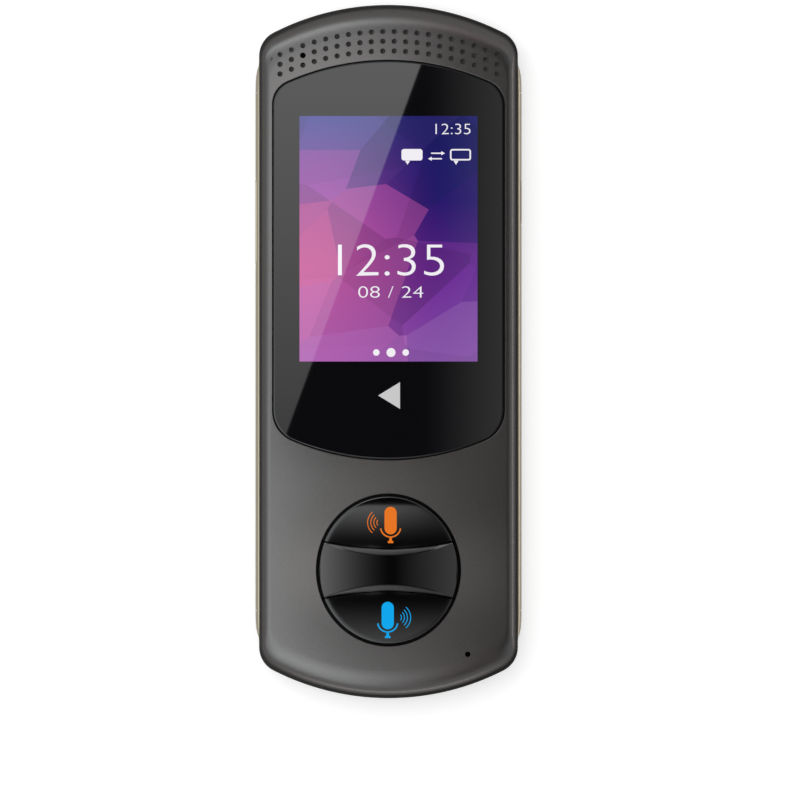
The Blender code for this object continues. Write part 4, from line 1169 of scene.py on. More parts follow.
@dataclass
class TalkOval:
    """Shared sizes of the talk keys and the thumb rest."""

    centre_y: float = -43.7 * MM
    half_width: float = 14.2 * MM
    half_length: float = 15.0 * MM
    gap: float = 0.3 * MM
    face: float = 12.4 * MM
    crown: float = 0.695 * MM
    edge_round: float = 0.3 * MM
    seam_span: float = 4.3 * MM
    seam_radius: float = 60.0 * MM
    scoop_depth: float = 1.3 * MM
    scoop_slope: float = 1.0
    land: float = 0.1 * MM
    flange: Pair = (9.9 * MM, 10.6 * MM)
    flange_reach: float = 0.9 * MM
    edge_rings: int = 7
    crown_rings: int = 22
    seam_steps: int = 64
    tool_reach: Pair = (3.0 * MM, 4.0 * MM)
    tool_height: float = 30.0 * MM

    def outline(self, growth: float) -> Oval:
        """Return the oval with a margin round it."""
        return Oval((0.0, self.centre_y), self.half_width + growth, self.half_length + growth)

    def height(self, x: float, y: float) -> float:
        """Return the crown's height at a place.

        Args:
            x: The place across.
            y: The place along.

        Returns:
            The height above the back face.
        """
        inset = self.gap + self.edge_round
        across = x / (self.half_width - inset)
        along = (y - self.centre_y) / (self.half_length - inset)
        return self.face + self.crown * max(0.0, 1.0 - across**2 - along**2)

    def seam(self, x: float) -> float:
        """Return how far the seam lies from the oval's middle, at a place across."""
        return self.seam_span + self.seam_radius - math.sqrt(self.seam_radius**2 - x**2)

    @property
    def scoop_radius(self) -> float:
        """Return the radius of the scoop's floor, which meets the face level at the oval's ends."""
        reach = self.half_width - self.gap
        rise = self.scoop_depth - self.crown
        return (reach**2 + rise**2) / (2.0 * rise)

    def floor(self, x: float) -> float:
        """Return the level of the scoop's floor at a place across."""
        low = self.face + self.crown - self.scoop_depth
        return low + self.scoop_radius - math.sqrt(self.scoop_radius**2 - x**2)

    def blank(self) -> Stack:
        """Return the crowned oval that keys and rest are divided from."""
        low, high = self.flange
        stack = Stack(self.outline(self.flange_reach), low)
        stack.rise(high)
        half = (self.half_width - self.gap, self.half_length - self.gap)
        wide = (self.half_width + self.flange_reach, self.half_length + self.flange_reach)
        stack.rise(high, half[0] / wide[0], half[1] / wide[1])
        stack.rise(self.face - self.edge_round)
        stack.round_over(half, (self.edge_round, self.edge_round), self.edge_round, self.edge_rings)
        share = 1.0
        for i in range(1, self.crown_rings):
            smaller = 1.0 - i / self.crown_rings
            stack.rise(self.face + self.crown * (1.0 - smaller**2), smaller / share, smaller / share)
            share = smaller
        return stack

    def segment(self, side: int) -> BMesh:
        """Return the tool that keeps the part of the blank beyond one seam.

        Args:
            side: 1 for the upper key, -1 for the lower.

        Returns:
            The tool's mesh.
        """
        reach = self.half_width + self.tool_reach[0]
        far = self.half_length + self.tool_reach[1]
        turn = math.asin(reach / self.seam_radius)
        bm = bmesh.new()
        middle = Vector((0.0, self.centre_y + side * (self.seam_span + self.gap / 2 + self.seam_radius), 0.0))
        start = middle + Vector((-side * reach, -side * self.seam_radius * math.cos(turn), 0.0))
        first = bm.verts.new(start)
        last = spin(bm, first, middle, 2 * turn, self.seam_steps)
        corners = [bm.verts.new((vert.co.x, self.centre_y + side * far, 0.0)) for vert in (last, first)]
        for pair in ((last, corners[0]), corners, (corners[1], first)):
            bm.edges.new(pair)
        fill(bm)
        slab(bm, 0.0, self.tool_height)
        return bm


@dataclass(frozen=True)
class SideKey:
    """A side key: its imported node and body, its side, its place along it, its half length and its nubs."""

    node: str
    body: Body
    side: int
    place: float
    half: float
    nubs: Sequence[float]


TALK = TalkOval()
BODY = Bar(25.9 * MM, -69.4 * MM, 69.4 * MM, 50.0 * MM, 5.5 * MM, 5.5 * MM)
SHELL = Bar(25.6 * MM, -68.8 * MM, 68.8 * MM, 49.4 * MM, 5.2 * MM, 5.2 * MM)
WINDOW = Bar(23.0 * MM, -21.5 * MM, 58.06 * MM, 49.0 * MM, 6.3 * MM, 4.8 * MM)
SCREEN = Box((0.0, 22.55 * MM), 17.8 * MM, 24.55 * MM, TINY, 1)
LCD = Box((0.0, 21.4 * MM), 20.0 * MM, 27.9 * MM, 0.6 * MM)
SOCKET = Box((0.0, 5.67 * MM), 4.47 * MM, 1.63 * MM, 1.63 * MM)
POWER = SideKey("power_key", Body.POWER, 1, 30.0 * MM, 4.5 * MM, (0.0,))
VOLUME = SideKey("volume_rocker", Body.VOLUME, -1, 26.0 * MM, 8.5 * MM, (-5.5 * MM, 5.5 * MM))
LIP = BODY.grown(-2.6 * MM)
CAVITY = BODY.grown(-3.5 * MM)
LIP_REACH = 0.6 * MM
FLAT_SHARE = (0.992, 0.997)


@dataclass
class FrontShell:
    """Painted front shell: window recess, grille, key opening and microphone holes."""

    low: float = 8.5 * MM
    face: float = 12.4 * MM
    roof: float = 10.9 * MM
    lcd_pocket: Pair = (8.6 * MM, 11.8 * MM)
    window_seat: float = 10.8 * MM
    window_tray: Pair = (1.1 * MM, 9.6 * MM)
    key_well: Pair = (2.1 * MM, 9.0 * MM)
    flange_room: Pair = (1.2 * MM, 8.0 * MM)
    round_inset: Pair = (1.9 * MM, 5.0 * MM)
    round_height: float = 2.6 * MM
    columns: int = 20
    rows: int = 3
    half_span: float = 21.7 * MM
    row_pitch: float = 1.95 * MM
    arc_radius: float = 53.4 * MM
    arc_centre: float = 10.6 * MM
    hole_radius: float = 0.5 * MM
    hole_overrun: float = 0.3 * MM
    mic_radius: float = 0.55 * MM
    mic_hole: Tuple[int, int] = (2, 1)
    low_mic: Pair = (15.84 * MM, -60.56 * MM)
    bosses: Sequence[Pair] = ((19.9 * MM, 52.6 * MM), (19.9 * MM, -13.0 * MM), (17.5 * MM, -57.0 * MM))
    boss: Tuple[float, float] = (1.9 * MM, 8.7 * MM)
    bore: Tuple[float, float, float] = (0.8 * MM, 7.0 * MM, 10.0 * MM)
    rings: int = 14
    hole_steps: int = 24
    boss_steps: int = 32
    bore_steps: int = 20
    ease: float = 0.08 * MM

    def hole(self, place: Pair, radius: float) -> Stack:
        """Return the cutter of a sound hole with an eased rim.

        Args:
            place: The hole's middle.
            radius: Its radius.

        Returns:
            The cutter.
        """
        stack = Stack(Oval(place, radius, radius, self.hole_steps), self.roof - self.hole_overrun)
        stack.rise(self.face - self.ease / 2)
        flare = 1.0 + self.ease / radius
        return stack.rise(self.face + self.ease / 2, flare, flare)

    def recess(self, outline: Outline, low: float) -> Stack:
        """Return the cutter of an opening with an eased rim.

        Args:
            outline: The opening.
            low: The level it is cut to.

        Returns:
            The cutter.
        """
        stack = Stack(outline, low).rise(self.face - self.ease)
        flare = [1.0 + 2.0 * self.ease / size for size in (outline.half_width, outline.half_length)]
        return stack.rise(self.face + self.ease, *flare)

    def sound_holes(self) -> List[Stack]:
        """Return the cutters of the grille and of the low microphone's hole."""
        holes = [self.hole(self.low_mic, self.mic_radius)]
        for column in range(self.columns):
            x = self.half_span * (2 * column / (self.columns - 1) - 1)
            for row in range(self.rows):
                y = self.arc_centre + math.sqrt(self.arc_radius**2 - x**2) - row * self.row_pitch
                radius = self.mic_radius if (column, row) == self.mic_hole else self.hole_radius
                holes.append(self.hole((x, y), radius))
        return holes

    def pegs(self, radius: float, low: float, high: float, steps: int) -> BMesh:
        """Return a peg with so many sides at each screw boss, as one mesh."""
        places = [(side * x, y) for x, y in self.bosses for side in (-1, 1)]
        return merged(*[Stack(Oval(place, radius, radius, steps), low).rise(high) for place in places])

    def build(self) -> None:
        """Grow the shell, add what is moulded inside, and cut its openings."""
        stack = Stack(SHELL, self.low).rise(self.face - self.round_height)
        stack.round_over((SHELL.half_width, SHELL.high), self.round_inset, self.round_height, self.rings)
        stack.rise(self.face, *FLAT_SHARE)
        shell = Solid("front_shell", stack)
        shell.join(Stack(LIP, self.low - LIP_REACH).rise(self.low + OVERLAP))
        shell.cut(Stack(CAVITY, self.low - 2 * OVERRUN).rise(self.roof))
        root = self.roof + OVERLAP
        wall, low = self.window_tray
        shell.join(Stack(WINDOW.grown(wall), low).rise(root))
        wall, low = self.key_well
        shell.join(Stack(TALK.outline(wall), low).rise(root))
        radius, low = self.boss
        shell.join(self.pegs(radius, low, root, self.boss_steps))
        room, low = self.flange_room
        shell.cut(Stack(TALK.outline(room), low).rise(self.roof))
        shell.cut(self.recess(WINDOW.grown(GAP), self.window_seat))
        low, high = self.lcd_pocket
        shell.cut(Stack(LCD.grown(GAP), low).rise(high))
        shell.cut(self.recess(TALK.outline(GAP), self.roof - OVERRUN))
        shell.cut(self.pegs(*self.bore, self.bore_steps))
        shell.cut(merged(*self.sound_holes()))
        shell.settle(PAINT, Body.CASE, "front_housing")


@dataclass
class GrilleCloth:
    """Arched dust cloth behind the grille, with a hole round the microphone's boot."""

    low: float = 10.65 * MM
    high: float = 10.8 * MM
    arc_centre: float = 10.6 * MM
    radii: Pair = (48.85 * MM, 54.1 * MM)
    half_turn: float = 26.6
    boot: Pair = (-17.13 * MM, 59.23 * MM)
    boot_radius: float = 1.65 * MM
    boot_steps: int = 32
    margin: float = 3.7 * MM
    steps: int = 48
    flat: Pair = (44.4 * MM, 10.42 * MM)
    flat_area: float = 232.0 * MM * MM

    def build(self) -> None:
        """Spin the strip, thicken it, and trim it to the shell and the boot."""
        bm = bmesh.new()
        centre = (0.0, self.arc_centre)
        arched_strip(bm, centre, self.radii, 90.0 - self.half_turn, 2 * self.half_turn, self.steps)
        slab(bm, self.low, self.high)
        cloth = Solid("arched_cloth", bm)
        boot = Oval(self.boot, self.boot_radius, self.boot_radius, self.boot_steps)
        low, high = self.low - OVERRUN, self.high + OVERRUN
        cloth.keep(Stack(BODY.grown(-self.margin), low).rise(high))
        cloth.cut(Stack(boot, low).rise(high))
        piece = cloth.settle(CLOTH, Body.CASE, "speaker_mesh")


@dataclass
class BackShell:
    """Painted back shell with a flat face and round edges."""

    parting: float = 3.1 * MM
    floor: float = 1.4 * MM
    round_inset: Pair = (3.4 * MM, 5.0 * MM)
    round_height: float = 2.9 * MM
    rib: Outline = Box((17.7 * MM, 10.75 * MM), 0.4 * MM, 21.25 * MM, 0.2 * MM, 3)
    rib_top: float = 3.4 * MM
    rings: int = 16

    def build(self) -> None:
        """Grow the shell downwards, hollow it and add the ribs beside the battery."""
        stack = Stack(SHELL, self.parting).rise(self.round_height)
        stack.round_over((SHELL.half_width, SHELL.high), self.round_inset, -self.round_height, self.rings)
        stack.rise(0.0, *FLAT_SHARE)
        shell = Solid("back_shell", stack)
        shell.join(Stack(LIP, self.parting - OVERLAP).rise(self.parting + LIP_REACH))
        shell.cut(Stack(CAVITY, self.floor).rise(self.parting + 2 * OVERRUN))
        for side in (-1, 1):
            rib = replace(self.rib, centre=(side * self.rib.centre[0], self.rib.centre[1]))
            shell.join(Stack(rib, self.floor - OVERLAP).rise(self.rib_top))
        shell.settle(PAINT, Body.CASE, "back_cover")


@dataclass
class SideBand:
    """Dark band between the shells, and the champagne rails pressed into it."""

    low: float = 3.4 * MM
    high: float = 8.2 * MM
    ease: float = 0.3 * MM
    wall: float = 2.3 * MM
    rail_half_height: float = 1.7 * MM
    rail_root: float = 0.8 * MM
    rail_bulge: float = 0.75 * MM
    seam: Pair = (51.8 * MM, 0.06 * MM)
    seam_depth: float = 0.3 * MM
    taper: Sequence[Pair] = (
        (51.8 * MM, 1.0),
        (53.8 * MM, 0.96),
        (55.4 * MM, 0.8),
        (56.6 * MM, 0.45),
        (57.2 * MM, 0.15),
        (58.0 * MM, 0.004),
    )
    slot_half_height: float = 1.15 * MM
    socket_room: Pair = (-68.6 * MM, -66.1 * MM)
    mouth_margin: float = 0.2 * MM
    mouth_levels: Tuple[float, float, float] = (-67.6 * MM, -69.15 * MM, -69.65 * MM)
    mouth_flare: float = 0.5 * MM
    bulge_steps: int = 28
    edge_rings: int = 4
    rail_crease: float = 24.0

    @property
    def middle(self) -> float:
        """Return the height of the band's middle."""
        return (self.low + self.high) / 2

    def slot_tool(self, side: int) -> Stack:
        """Return the cutter of one side key's slot, laid flat.

        Args:
            side: 1 for the right side, -1 for the left.

        Returns:
            The cutter.
        """
        key = POWER if side > 0 else VOLUME
        height = self.slot_half_height
        outline = Box((side * key.place, self.middle), key.half + GAP, height, height)
        return Stack(outline, BODY.half_width - self.wall - OVERRUN).rise(BODY.half_width + 2 * OVERRUN)

    def band(self) -> None:
        """Build the band with its rail channels, key slots and socket mouth."""
        half = (BODY.half_width, BODY.high)
        inset = (self.ease, self.ease)
        stack = Stack(BODY.grown(-self.ease), self.low)
        last = [size - self.ease for size in half]
        for i in range(1, self.edge_rings + 1):
            turn = math.pi / 2 * i / self.edge_rings
            ring = [size - draw * (1.0 - math.sin(turn)) for size, draw in zip(half, inset)]
            stack.rise(self.low + self.ease * (1.0 - math.cos(turn)), ring[0] / last[0], ring[1] / last[1])
            last = ring
        stack.rise(self.high - self.ease).round_over(half, inset, self.ease, self.edge_rings)
        band = Solid("side_band", stack)
        band.cut(Stack(BODY.grown(-self.wall), self.low - OVERRUN).rise(self.high + OVERRUN))
        channel = Box((0.0, self.middle), self.taper[-1][0] + GAP, self.rail_half_height + GAP, GAP)
        floor = BODY.half_width - self.rail_root - GAP
        for side in (-1, 1):
            band.cut(Stack(channel, floor).rise(BODY.half_width + OVERRUN), sideways(side))
            band.cut(self.slot_tool(side), sideways(side))
        low, high = self.socket_room
        band.cut(Stack(SOCKET.grown(GAP), low).rise(high), endways())
        mouth = SOCKET.grown(-self.mouth_margin)
        inner, knee, outer = self.mouth_levels
        flare = [1.0 + self.mouth_flare / size for size in (mouth.half_width, mouth.half_length)]
        band.cut(Stack(mouth, inner).rise(knee).rise(outer, *flare), endways())
        band.settle(BAND, Body.CASE, "mid_frame")

    def bar(self) -> BMesh:
        """Return a D-shaped bar along Z that tapers at both ends."""
        bm = bmesh.new()
        top = bm.verts.new((0.0, 1.0, 0.0))
        low = spin(bm, top, Vector((0.0, 0.0, 0.0)), -math.pi, self.bulge_steps)
        bmesh.ops.scale(bm, vec=(self.rail_bulge, self.rail_half_height, 1.0), verts=bm.verts[:])
        roots = [bm.verts.new((-self.rail_root, vert.co.y, 0.0)) for vert in (low, top)]
        for pair in ((low, roots[0]), roots, (roots[1], top)):
            bm.edges.new(pair)
        face = fill(bm)
        before = 1.0
        for place, share in self.taper:
            last = face
            grown = bmesh.ops.extrude_face_region(bm, geom=[last])
            face = next(item for item in grown["geom"] if isinstance(item, BMFace))
            bmesh.ops.delete(bm, geom=[last], context="FACES_ONLY")
            bulge = [vert for vert in face.verts if vert.co.x > TINY]
            bmesh.ops.scale(bm, vec=(share / before, 1.0, 1.0), verts=bulge)
            bmesh.ops.translate(bm, verts=face.verts[:], vec=(0.0, 0.0, place - face.verts[0].co.z))
            before = share
        whole = bm.verts[:] + bm.edges[:] + bm.faces[:]
        bmesh.ops.mirror(bm, geom=whole, matrix=Matrix.Identity(4), merge_dist=TINY, axis="Z")
        return bm

    def rails(self) -> None:
        """Build the two rails, each with a fine seam near either end."""
        for side, name in ((-1, "left_rail"), (1, "right_rail")):
            out = (side, 0, 0, side * BODY.half_width)
            stand = Matrix((out, (0, 0, 1, 0), (0, 1, 0, self.middle), (0, 0, 0, 1)))
            rail = Solid(name, self.bar(), stand)
            rail.cut(self.slot_tool(side), sideways(side))
            for end in (-1, 1):
                place, half = self.seam
                line = Box((end * place, self.middle), half, 2 * self.rail_half_height, TINY, 1)
                depth = BODY.half_width + self.rail_bulge - self.seam_depth
                rail.cut(Stack(line, depth).rise(BODY.half_width + OVERRUN), sideways(side))
            rail.obj.name = f"{name}_strip"
            rail.settle(RAIL, Body.CASE, name, crease=self.rail_crease)

    def build(self) -> None:
        """Build band and rails."""
        self.band()
        self.rails()


@dataclass
class DisplayWindow:
    """Black cover glass, the lit picture flush in it, and the marks on both."""

    low: float = 11.3 * MM
    top: float = 12.3 * MM
    ease: float = 0.06 * MM
    proud: float = 0.01 * MM
    sunk: float = 0.05 * MM
    digits: Sequence[Tuple[str, Pair, Pair]] = (
        ("12:35", (0.5 * MM, 18.3 * MM), (21.2 * MM, 6.3 * MM)),
        ("08 / 24", (0.45 * MM, 11.9 * MM), (13.0 * MM, 2.3 * MM)),
        ("12:35", (12.9 * MM, 44.5 * MM), (7.0 * MM, 2.1 * MM)),
    )
    digit_weight: float = -0.014
    digit_steps: int = 6
    dots: Sequence[Pair] = ((-2.44 * MM, 0.65 * MM), (0.5 * MM, 0.9 * MM), (3.44 * MM, 0.65 * MM))
    dots_y: float = -0.2 * MM
    bubble: Box = Box((0.0, 39.35 * MM), 2.1 * MM, 1.15 * MM, 0.5 * MM, 5)
    bubbles: Sequence[Pair] = ((4.7 * MM, 0.0), (14.4 * MM, 0.3 * MM))
    tail: Tuple[Pair, Pair] = ((-0.9 * MM, -2.0 * MM), (0.8 * MM, 1.0 * MM))
    shaft: Box = Box((9.6 * MM, 0.0), 1.1 * MM, 0.13 * MM, 0.1 * MM, 3)
    shafts: Sequence[Tuple[float, int]] = ((39.65 * MM, 1), (38.55 * MM, -1))
    arrow_reach: float = 1.7 * MM
    arrow_size: Pair = (0.75 * MM, 0.8 * MM)
    touch_tip: Pair = (-2.06 * MM, -8.8 * MM)
    touch_size: Pair = (4.36 * MM, 5.34 * MM)
    dot_steps: int = 28
    ease_rings: int = 4
    flat_share: Pair = (0.99, 0.995)
    glass_crease: float = 15.0

    def plate(self, name: str, bm: BMesh, finish: Finish) -> None:
        """Turn flat faces into a thin plate on the glass.

        Args:
            name: The piece's name.
            bm: The flat faces.
            finish: The plate's surface.
        """
        bmesh.ops.dissolve_limit(bm, angle_limit=0.001, verts=bm.verts[:], edges=bm.edges[:])
        slab(bm, self.top - self.sunk, self.top + self.proud)
        Solid(name, bm).settle(finish, Body.CASE)

    def text(self, bm: BMesh, words: str, middle: Pair, size: Pair) -> None:
        """Add digits, scaled to fit a box.

        Args:
            bm: The mesh that takes them.
            words: The digits.
            middle: The middle of the box.
            size: Its width and height.
        """
        curve = bpy.data.curves.new("digits", "FONT")
        curve.body = words
        curve.resolution_u = self.digit_steps
        curve.offset = self.digit_weight
        writer = bpy.data.objects.new("digits", curve)
        bpy.context.scene.collection.objects.link(writer)
        flat = bpy.data.meshes.new_from_object(writer.evaluated_get(bpy.context.evaluated_depsgraph_get()))
        xs = [vert.co.x for vert in flat.vertices]
        ys = [vert.co.y for vert in flat.vertices]
        scale = (size[0] / (max(xs) - min(xs)), size[1] / (max(ys) - min(ys)))
        centre = Matrix.Translation((-(max(xs) + min(xs)) / 2, -(max(ys) + min(ys)) / 2, 0.0))
        flat.transform(Matrix.Translation((*middle, 0.0)) @ Matrix.Diagonal((*scale, 1.0, 1.0)) @ centre)
        bm.from_mesh(flat)
        bpy.data.meshes.remove(flat)
        bpy.data.objects.remove(writer)

    def arrow(self, bm: BMesh, tip: Pair, size: Pair, turn: float) -> None:
        """Add a triangle that points to the left before it is turned.

        Args:
            bm: The mesh that takes it.
            tip: The triangle's tip.
            size: Its length and height.
            turn: How far it is turned, in radians.
        """
        unit = Matrix.Translation((1.0, 0.0, 0.0)) @ Matrix.Rotation(math.pi / 2, 4, "Z")
        scale = Matrix.Diagonal((size[0] / 1.5, size[1] / math.sqrt(3.0), 1.0, 1.0))
        place = Matrix.Translation((*tip, 0.0)) @ Matrix.Rotation(turn, 4, "Z") @ scale @ unit
        bmesh.ops.create_circle(bm, cap_ends=True, segments=3, radius=1.0, matrix=place)

    def marks(self) -> None:
        """Write the clock, the date and the small clock, and draw the dots, two bubbles and two arrows."""
        bm = bmesh.new()
        for words, middle, size in self.digits:
            self.text(bm, words, middle, size)
        for x, radius in self.dots:
            patch(bm, Oval((x, self.dots_y), radius, radius, self.dot_steps))
        (left, drop), tail = self.tail
        for x, rim in self.bubbles:
            patch(bm, replace(self.bubble, centre=(x, self.bubble.centre[1])), rim)
            self.arrow(bm, (x + left, self.bubble.centre[1] + drop), tail, math.pi / 2)
        for y, way in self.shafts:
            x = self.shaft.centre[0]
            patch(bm, replace(self.shaft, centre=(x, y)))
            self.arrow(bm, (x + way * self.arrow_reach, y), self.arrow_size, 0.0 if way < 0 else math.pi)
        self.plate("display_marks", bm, WHITE_MARK)
        bm = bmesh.new()
        self.arrow(bm, self.touch_tip, self.touch_size, 0.0)
        self.plate("touch_mark", bm, GREY_MARK)

    def build(self) -> None:
        """Build the glass, the picture and the marks."""
        stack = Stack(WINDOW, self.low).rise(self.top - self.ease)
        half = (WINDOW.half_width, WINDOW.half_length)
        stack.round_over(half, (self.ease, self.ease), self.ease, self.ease_rings)
        stack.rise(self.top, *self.flat_share)
        glass = Solid("cover_glass", stack)
        glass.cut(Stack(SCREEN, self.low - OVERRUN).rise(self.top + OVERRUN))
        glass.settle(GLASS, Body.CASE, "window_glass", crease=self.glass_crease)
        picture = Solid("display_picture", Stack(SCREEN, self.low).rise(self.top))
        picture.settle(PICTURE, Body.CASE, "window_glass")
        self.marks()


@dataclass
class TalkKeys:
    """The two crowned talk keys, the scooped rest between them, and their icons."""

    stem_offset: float = 9.5 * MM
    stem_radius: float = 1.5 * MM
    stem_low: float = 9.25 * MM
    stem_steps: int = 32
    scoop_steps: int = 96
    proud: float = 0.02 * MM
    sunk: float = 0.1 * MM
    capsule: Box = Box((0.0, 0.0), 1.22 * MM, 2.75 * MM, 1.22 * MM)
    stand: Box = Box((0.0, -3.75 * MM), 0.26 * MM, 0.45 * MM, 0.05 * MM, 2)
    foot: Box = Box((0.0, -4.3 * MM), 0.55 * MM, 0.22 * MM, 0.1 * MM, 3)
    cradle: Tuple[float, float, float] = (1.3 * MM, 2.0 * MM, 0.28 * MM)
    cradle_turn: Pair = (188.0, 164.0)
    wave_source: Pair = (1.9 * MM, -0.4 * MM)
    wave_width: float = 0.16 * MM
    waves: Sequence[Pair] = ((0.85 * MM, 40.0), (1.45 * MM, 45.0), (2.05 * MM, 48.0), (2.7 * MM, 50.0))
    arc_steps: int = 16
    upper_icon: Pair = (0.42 * MM, -33.8 * MM)
    lower_icon: Pair = (-0.16 * MM, -52.8 * MM)
    rest_crease: float = 26.0

    def key(self, name: str, side: int, body: Body) -> None:
        """Build one key.

        Args:
            name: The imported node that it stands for.
            side: 1 for the upper key, -1 for the lower.
            body: The body that it rides on.
        """
        key = Solid(f"{name}_cap", TALK.blank())
        key.keep(TALK.segment(side))
        place = (0.0, TALK.centre_y + side * self.stem_offset)
        stem = Oval(place, self.stem_radius, self.stem_radius, self.stem_steps)
        key.join(Stack(stem, self.stem_low).rise(TALK.flange[0] + OVERLAP))
        key.settle(GLOSS, body, name)

    def rest(self) -> None:
        """Build the thumb rest with its scoop."""
        rest = Solid("scooped_rest", TALK.blank())
        for side in (-1, 1):
            tool = TALK.segment(side)
            bmesh.ops.translate(tool, verts=tool.verts[:], vec=(0.0, -side * TALK.gap, 0.0))
            rest.cut(tool)
        top = TALK.face + TALK.crown + OVERRUN
        reach = TALK.half_width + 2 * OVERRUN
        bm = bmesh.new()
        place = Matrix.Translation((0.0, TALK.centre_y, 0.0)) @ Matrix.Diagonal((reach, OVERRUN, 1.0, 1.0))
        bmesh.ops.create_grid(bm, x_segments=self.scoop_steps, y_segments=1, size=1.0, matrix=place)
        raised = set(thicken(bm))
        for vert in bm.verts:
            side = math.copysign(1.0, vert.co.y - TALK.centre_y)
            edge = TALK.seam(vert.co.x) - TALK.gap / 2 - TALK.land
            crest = TALK.height(vert.co.x, TALK.centre_y + edge)
            level = top if vert in raised else TALK.floor(vert.co.x)
            vert.co.y = TALK.centre_y + side * (edge + TALK.scoop_slope * (level - crest))
            vert.co.z = level
        rest.cut(bm)
        rest.settle(REST, Body.CASE, "thumb_rest", crease=self.rest_crease)

    def icon(self, name: str, finish: Finish, body: Body, centre: Pair, side: int) -> None:
        """Draw a microphone with sound waves beside it, laid on the crown.

        Args:
            name: The piece's name.
            finish: Its print.
            body: The key's body.
            centre: The middle of the microphone's capsule.
            side: 1 if the waves are on the right, -1 on the left.
        """
        x, y = centre
        bm = bmesh.new()
        for shape in (self.capsule, self.stand, self.foot):
            patch(bm, replace(shape, centre=(x, y + shape.centre[1])), fan=True)
        drop, radius, width = self.cradle
        edges = (radius - width / 2, radius + width / 2)
        arched_strip(bm, (x, y - drop), edges, *self.cradle_turn, self.arc_steps)
        source = (x + side * self.wave_source[0], y + self.wave_source[1])
        for radius, reach in self.waves:
            edges = (radius - self.wave_width / 2, radius + self.wave_width / 2)
            start = -reach if side > 0 else 180.0 - reach
            arched_strip(bm, source, edges, start, 2 * reach, self.arc_steps)
        raised = set(thicken(bm))
        for vert in bm.verts:
            vert.co.z = TALK.height(vert.co.x, vert.co.y) + (self.proud if vert in raised else -self.sunk)
        Solid(name, bm).settle(finish, body)

    def build(self) -> None:
        """Build the keys, the rest and the icons."""
        self.key("upper_talk_key", 1, Body.UPPER)
        self.key("lower_talk_key", -1, Body.LOWER)
        self.rest()
        self.icon("upper_microphone_icon", ORANGE, Body.UPPER, self.upper_icon, -1)
        self.icon("lower_microphone_icon", BLUE, Body.LOWER, self.lower_icon, 1)


@dataclass
class SideKeys:
    """Power key and volume rocker, each with its flange and nubs."""

    half_height: float = 0.85 * MM
    flange_back: float = 22.8 * MM
    flange_face: float = 23.3 * MM
    face: float = 26.67 * MM
    edge: float = 0.12 * MM
    level: float = 5.8 * MM
    flange_reach: Pair = (0.8 * MM, 0.4 * MM)
    nub_radius: float = 0.6 * MM
    nub_steps: int = 24
    nub_reach: float = 0.5 * MM
    nub_root: float = 0.1 * MM
    edge_rings: int = 4

    def key(self, key: SideKey) -> None:
        """Build one key.

        Args:
            key: The key.
        """
        centre = (key.side * key.place, self.level)
        turn = sideways(key.side)
        along, across = self.flange_reach
        flange = Box(centre, key.half + along, self.half_height + across, self.half_height + across)
        cap = Box(centre, key.half, self.half_height, self.half_height)
        solid = Solid(f"{key.node}_cap", Stack(flange, self.flange_back).rise(self.flange_face), turn)
        stack = Stack(cap, self.flange_face - 2 * self.nub_root).rise(self.face - self.edge)
        stack.round_over((key.half, self.half_height), (self.edge, self.edge), self.edge, self.edge_rings)
        solid.join(stack, turn)
        for offset in key.nubs:
            place = (key.side * (key.place + offset), self.level)
            nub = Oval(place, self.nub_radius, self.nub_radius, self.nub_steps)
            peg = Stack(nub, self.flange_back - self.nub_reach).rise(self.flange_face - self.nub_root)
            solid.join(peg, turn)
        solid.settle(RAIL, key.body, key.node)

    def build(self) -> None:
        """Build both keys."""
        for key in (POWER, VOLUME):
            self.key(key)


@dataclass
class ChargingSocket:
    """Steel shell of the charging socket, the black core with its tongue, and the gold contacts."""

    front: float = -68.3 * MM
    length: float = 7.3 * MM
    depth: float = 6.0 * MM
    tongue_half: Pair = (3.35 * MM, 0.35 * MM)
    tongue_length: float = 4.5 * MM
    core_depth: float = 1.6 * MM
    wall: float = 0.3 * MM
    core_gap: float = 0.01 * MM
    contacts: int = 12
    contact_half_width: float = 0.14 * MM
    contact_proud: float = 0.02 * MM
    contact_span_share: float = 0.86
    contact_ends: Pair = (0.3 * MM, 0.1 * MM)

    def build(self) -> None:
        """Build the socket."""
        shell = Solid("socket_shell", Stack(SOCKET, self.front).rise(self.front + self.length), endways())
        bore = SOCKET.grown(-self.wall)
        end = self.front + self.depth
        shell.cut(Stack(bore, self.front - OVERRUN).rise(end), endways())
        shell.settle(STEEL, Body.CASE, "charging_socket")
        core = Stack(bore.grown(-self.core_gap), end - self.core_depth).rise(end - self.core_gap)
        core = Solid("socket_core", core, endways())
        tongue = Box(SOCKET.centre, *self.tongue_half, 0.1 * MM, 3)
        core.join(Stack(tongue, end - self.tongue_length).rise(end - self.core_depth / 2), endways())
        core.settle(PORT, Body.CASE, "charging_socket")
        pads = []
        proud = self.contact_proud
        tip, root = self.contact_ends
        for i in range(self.contacts):
            x = self.tongue_half[0] * self.contact_span_share * (2 * i / (self.contacts - 1) - 1)
            pad = Box((x, SOCKET.centre[1]), self.contact_half_width, self.tongue_half[1] + proud, proud, 1)
            pads.append(Stack(pad, end - self.tongue_length + tip).rise(end - self.core_depth - root))
        Solid("socket_contacts", merged(*pads), endways()).settle(GOLD, Body.CASE)


@dataclass
class Insides:
    """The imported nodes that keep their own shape."""

    finishes: Dict[str, Finish] = field(default_factory=dict)
    weld: float = 0.0005 * MM
    crease: float = 38.0

    def build(self) -> None:
        """Copy each node, merge its loose triangles and give it its finish."""
        for node, finish in self.finishes.items():
            bm = bmesh.new()
            bm.from_mesh(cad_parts[node].data)
            bmesh.ops.remove_doubles(bm, verts=bm.verts[:], dist=self.weld)
            Solid(f"{node}_piece", bm).settle(finish, Body.CASE, node, crease=self.crease)


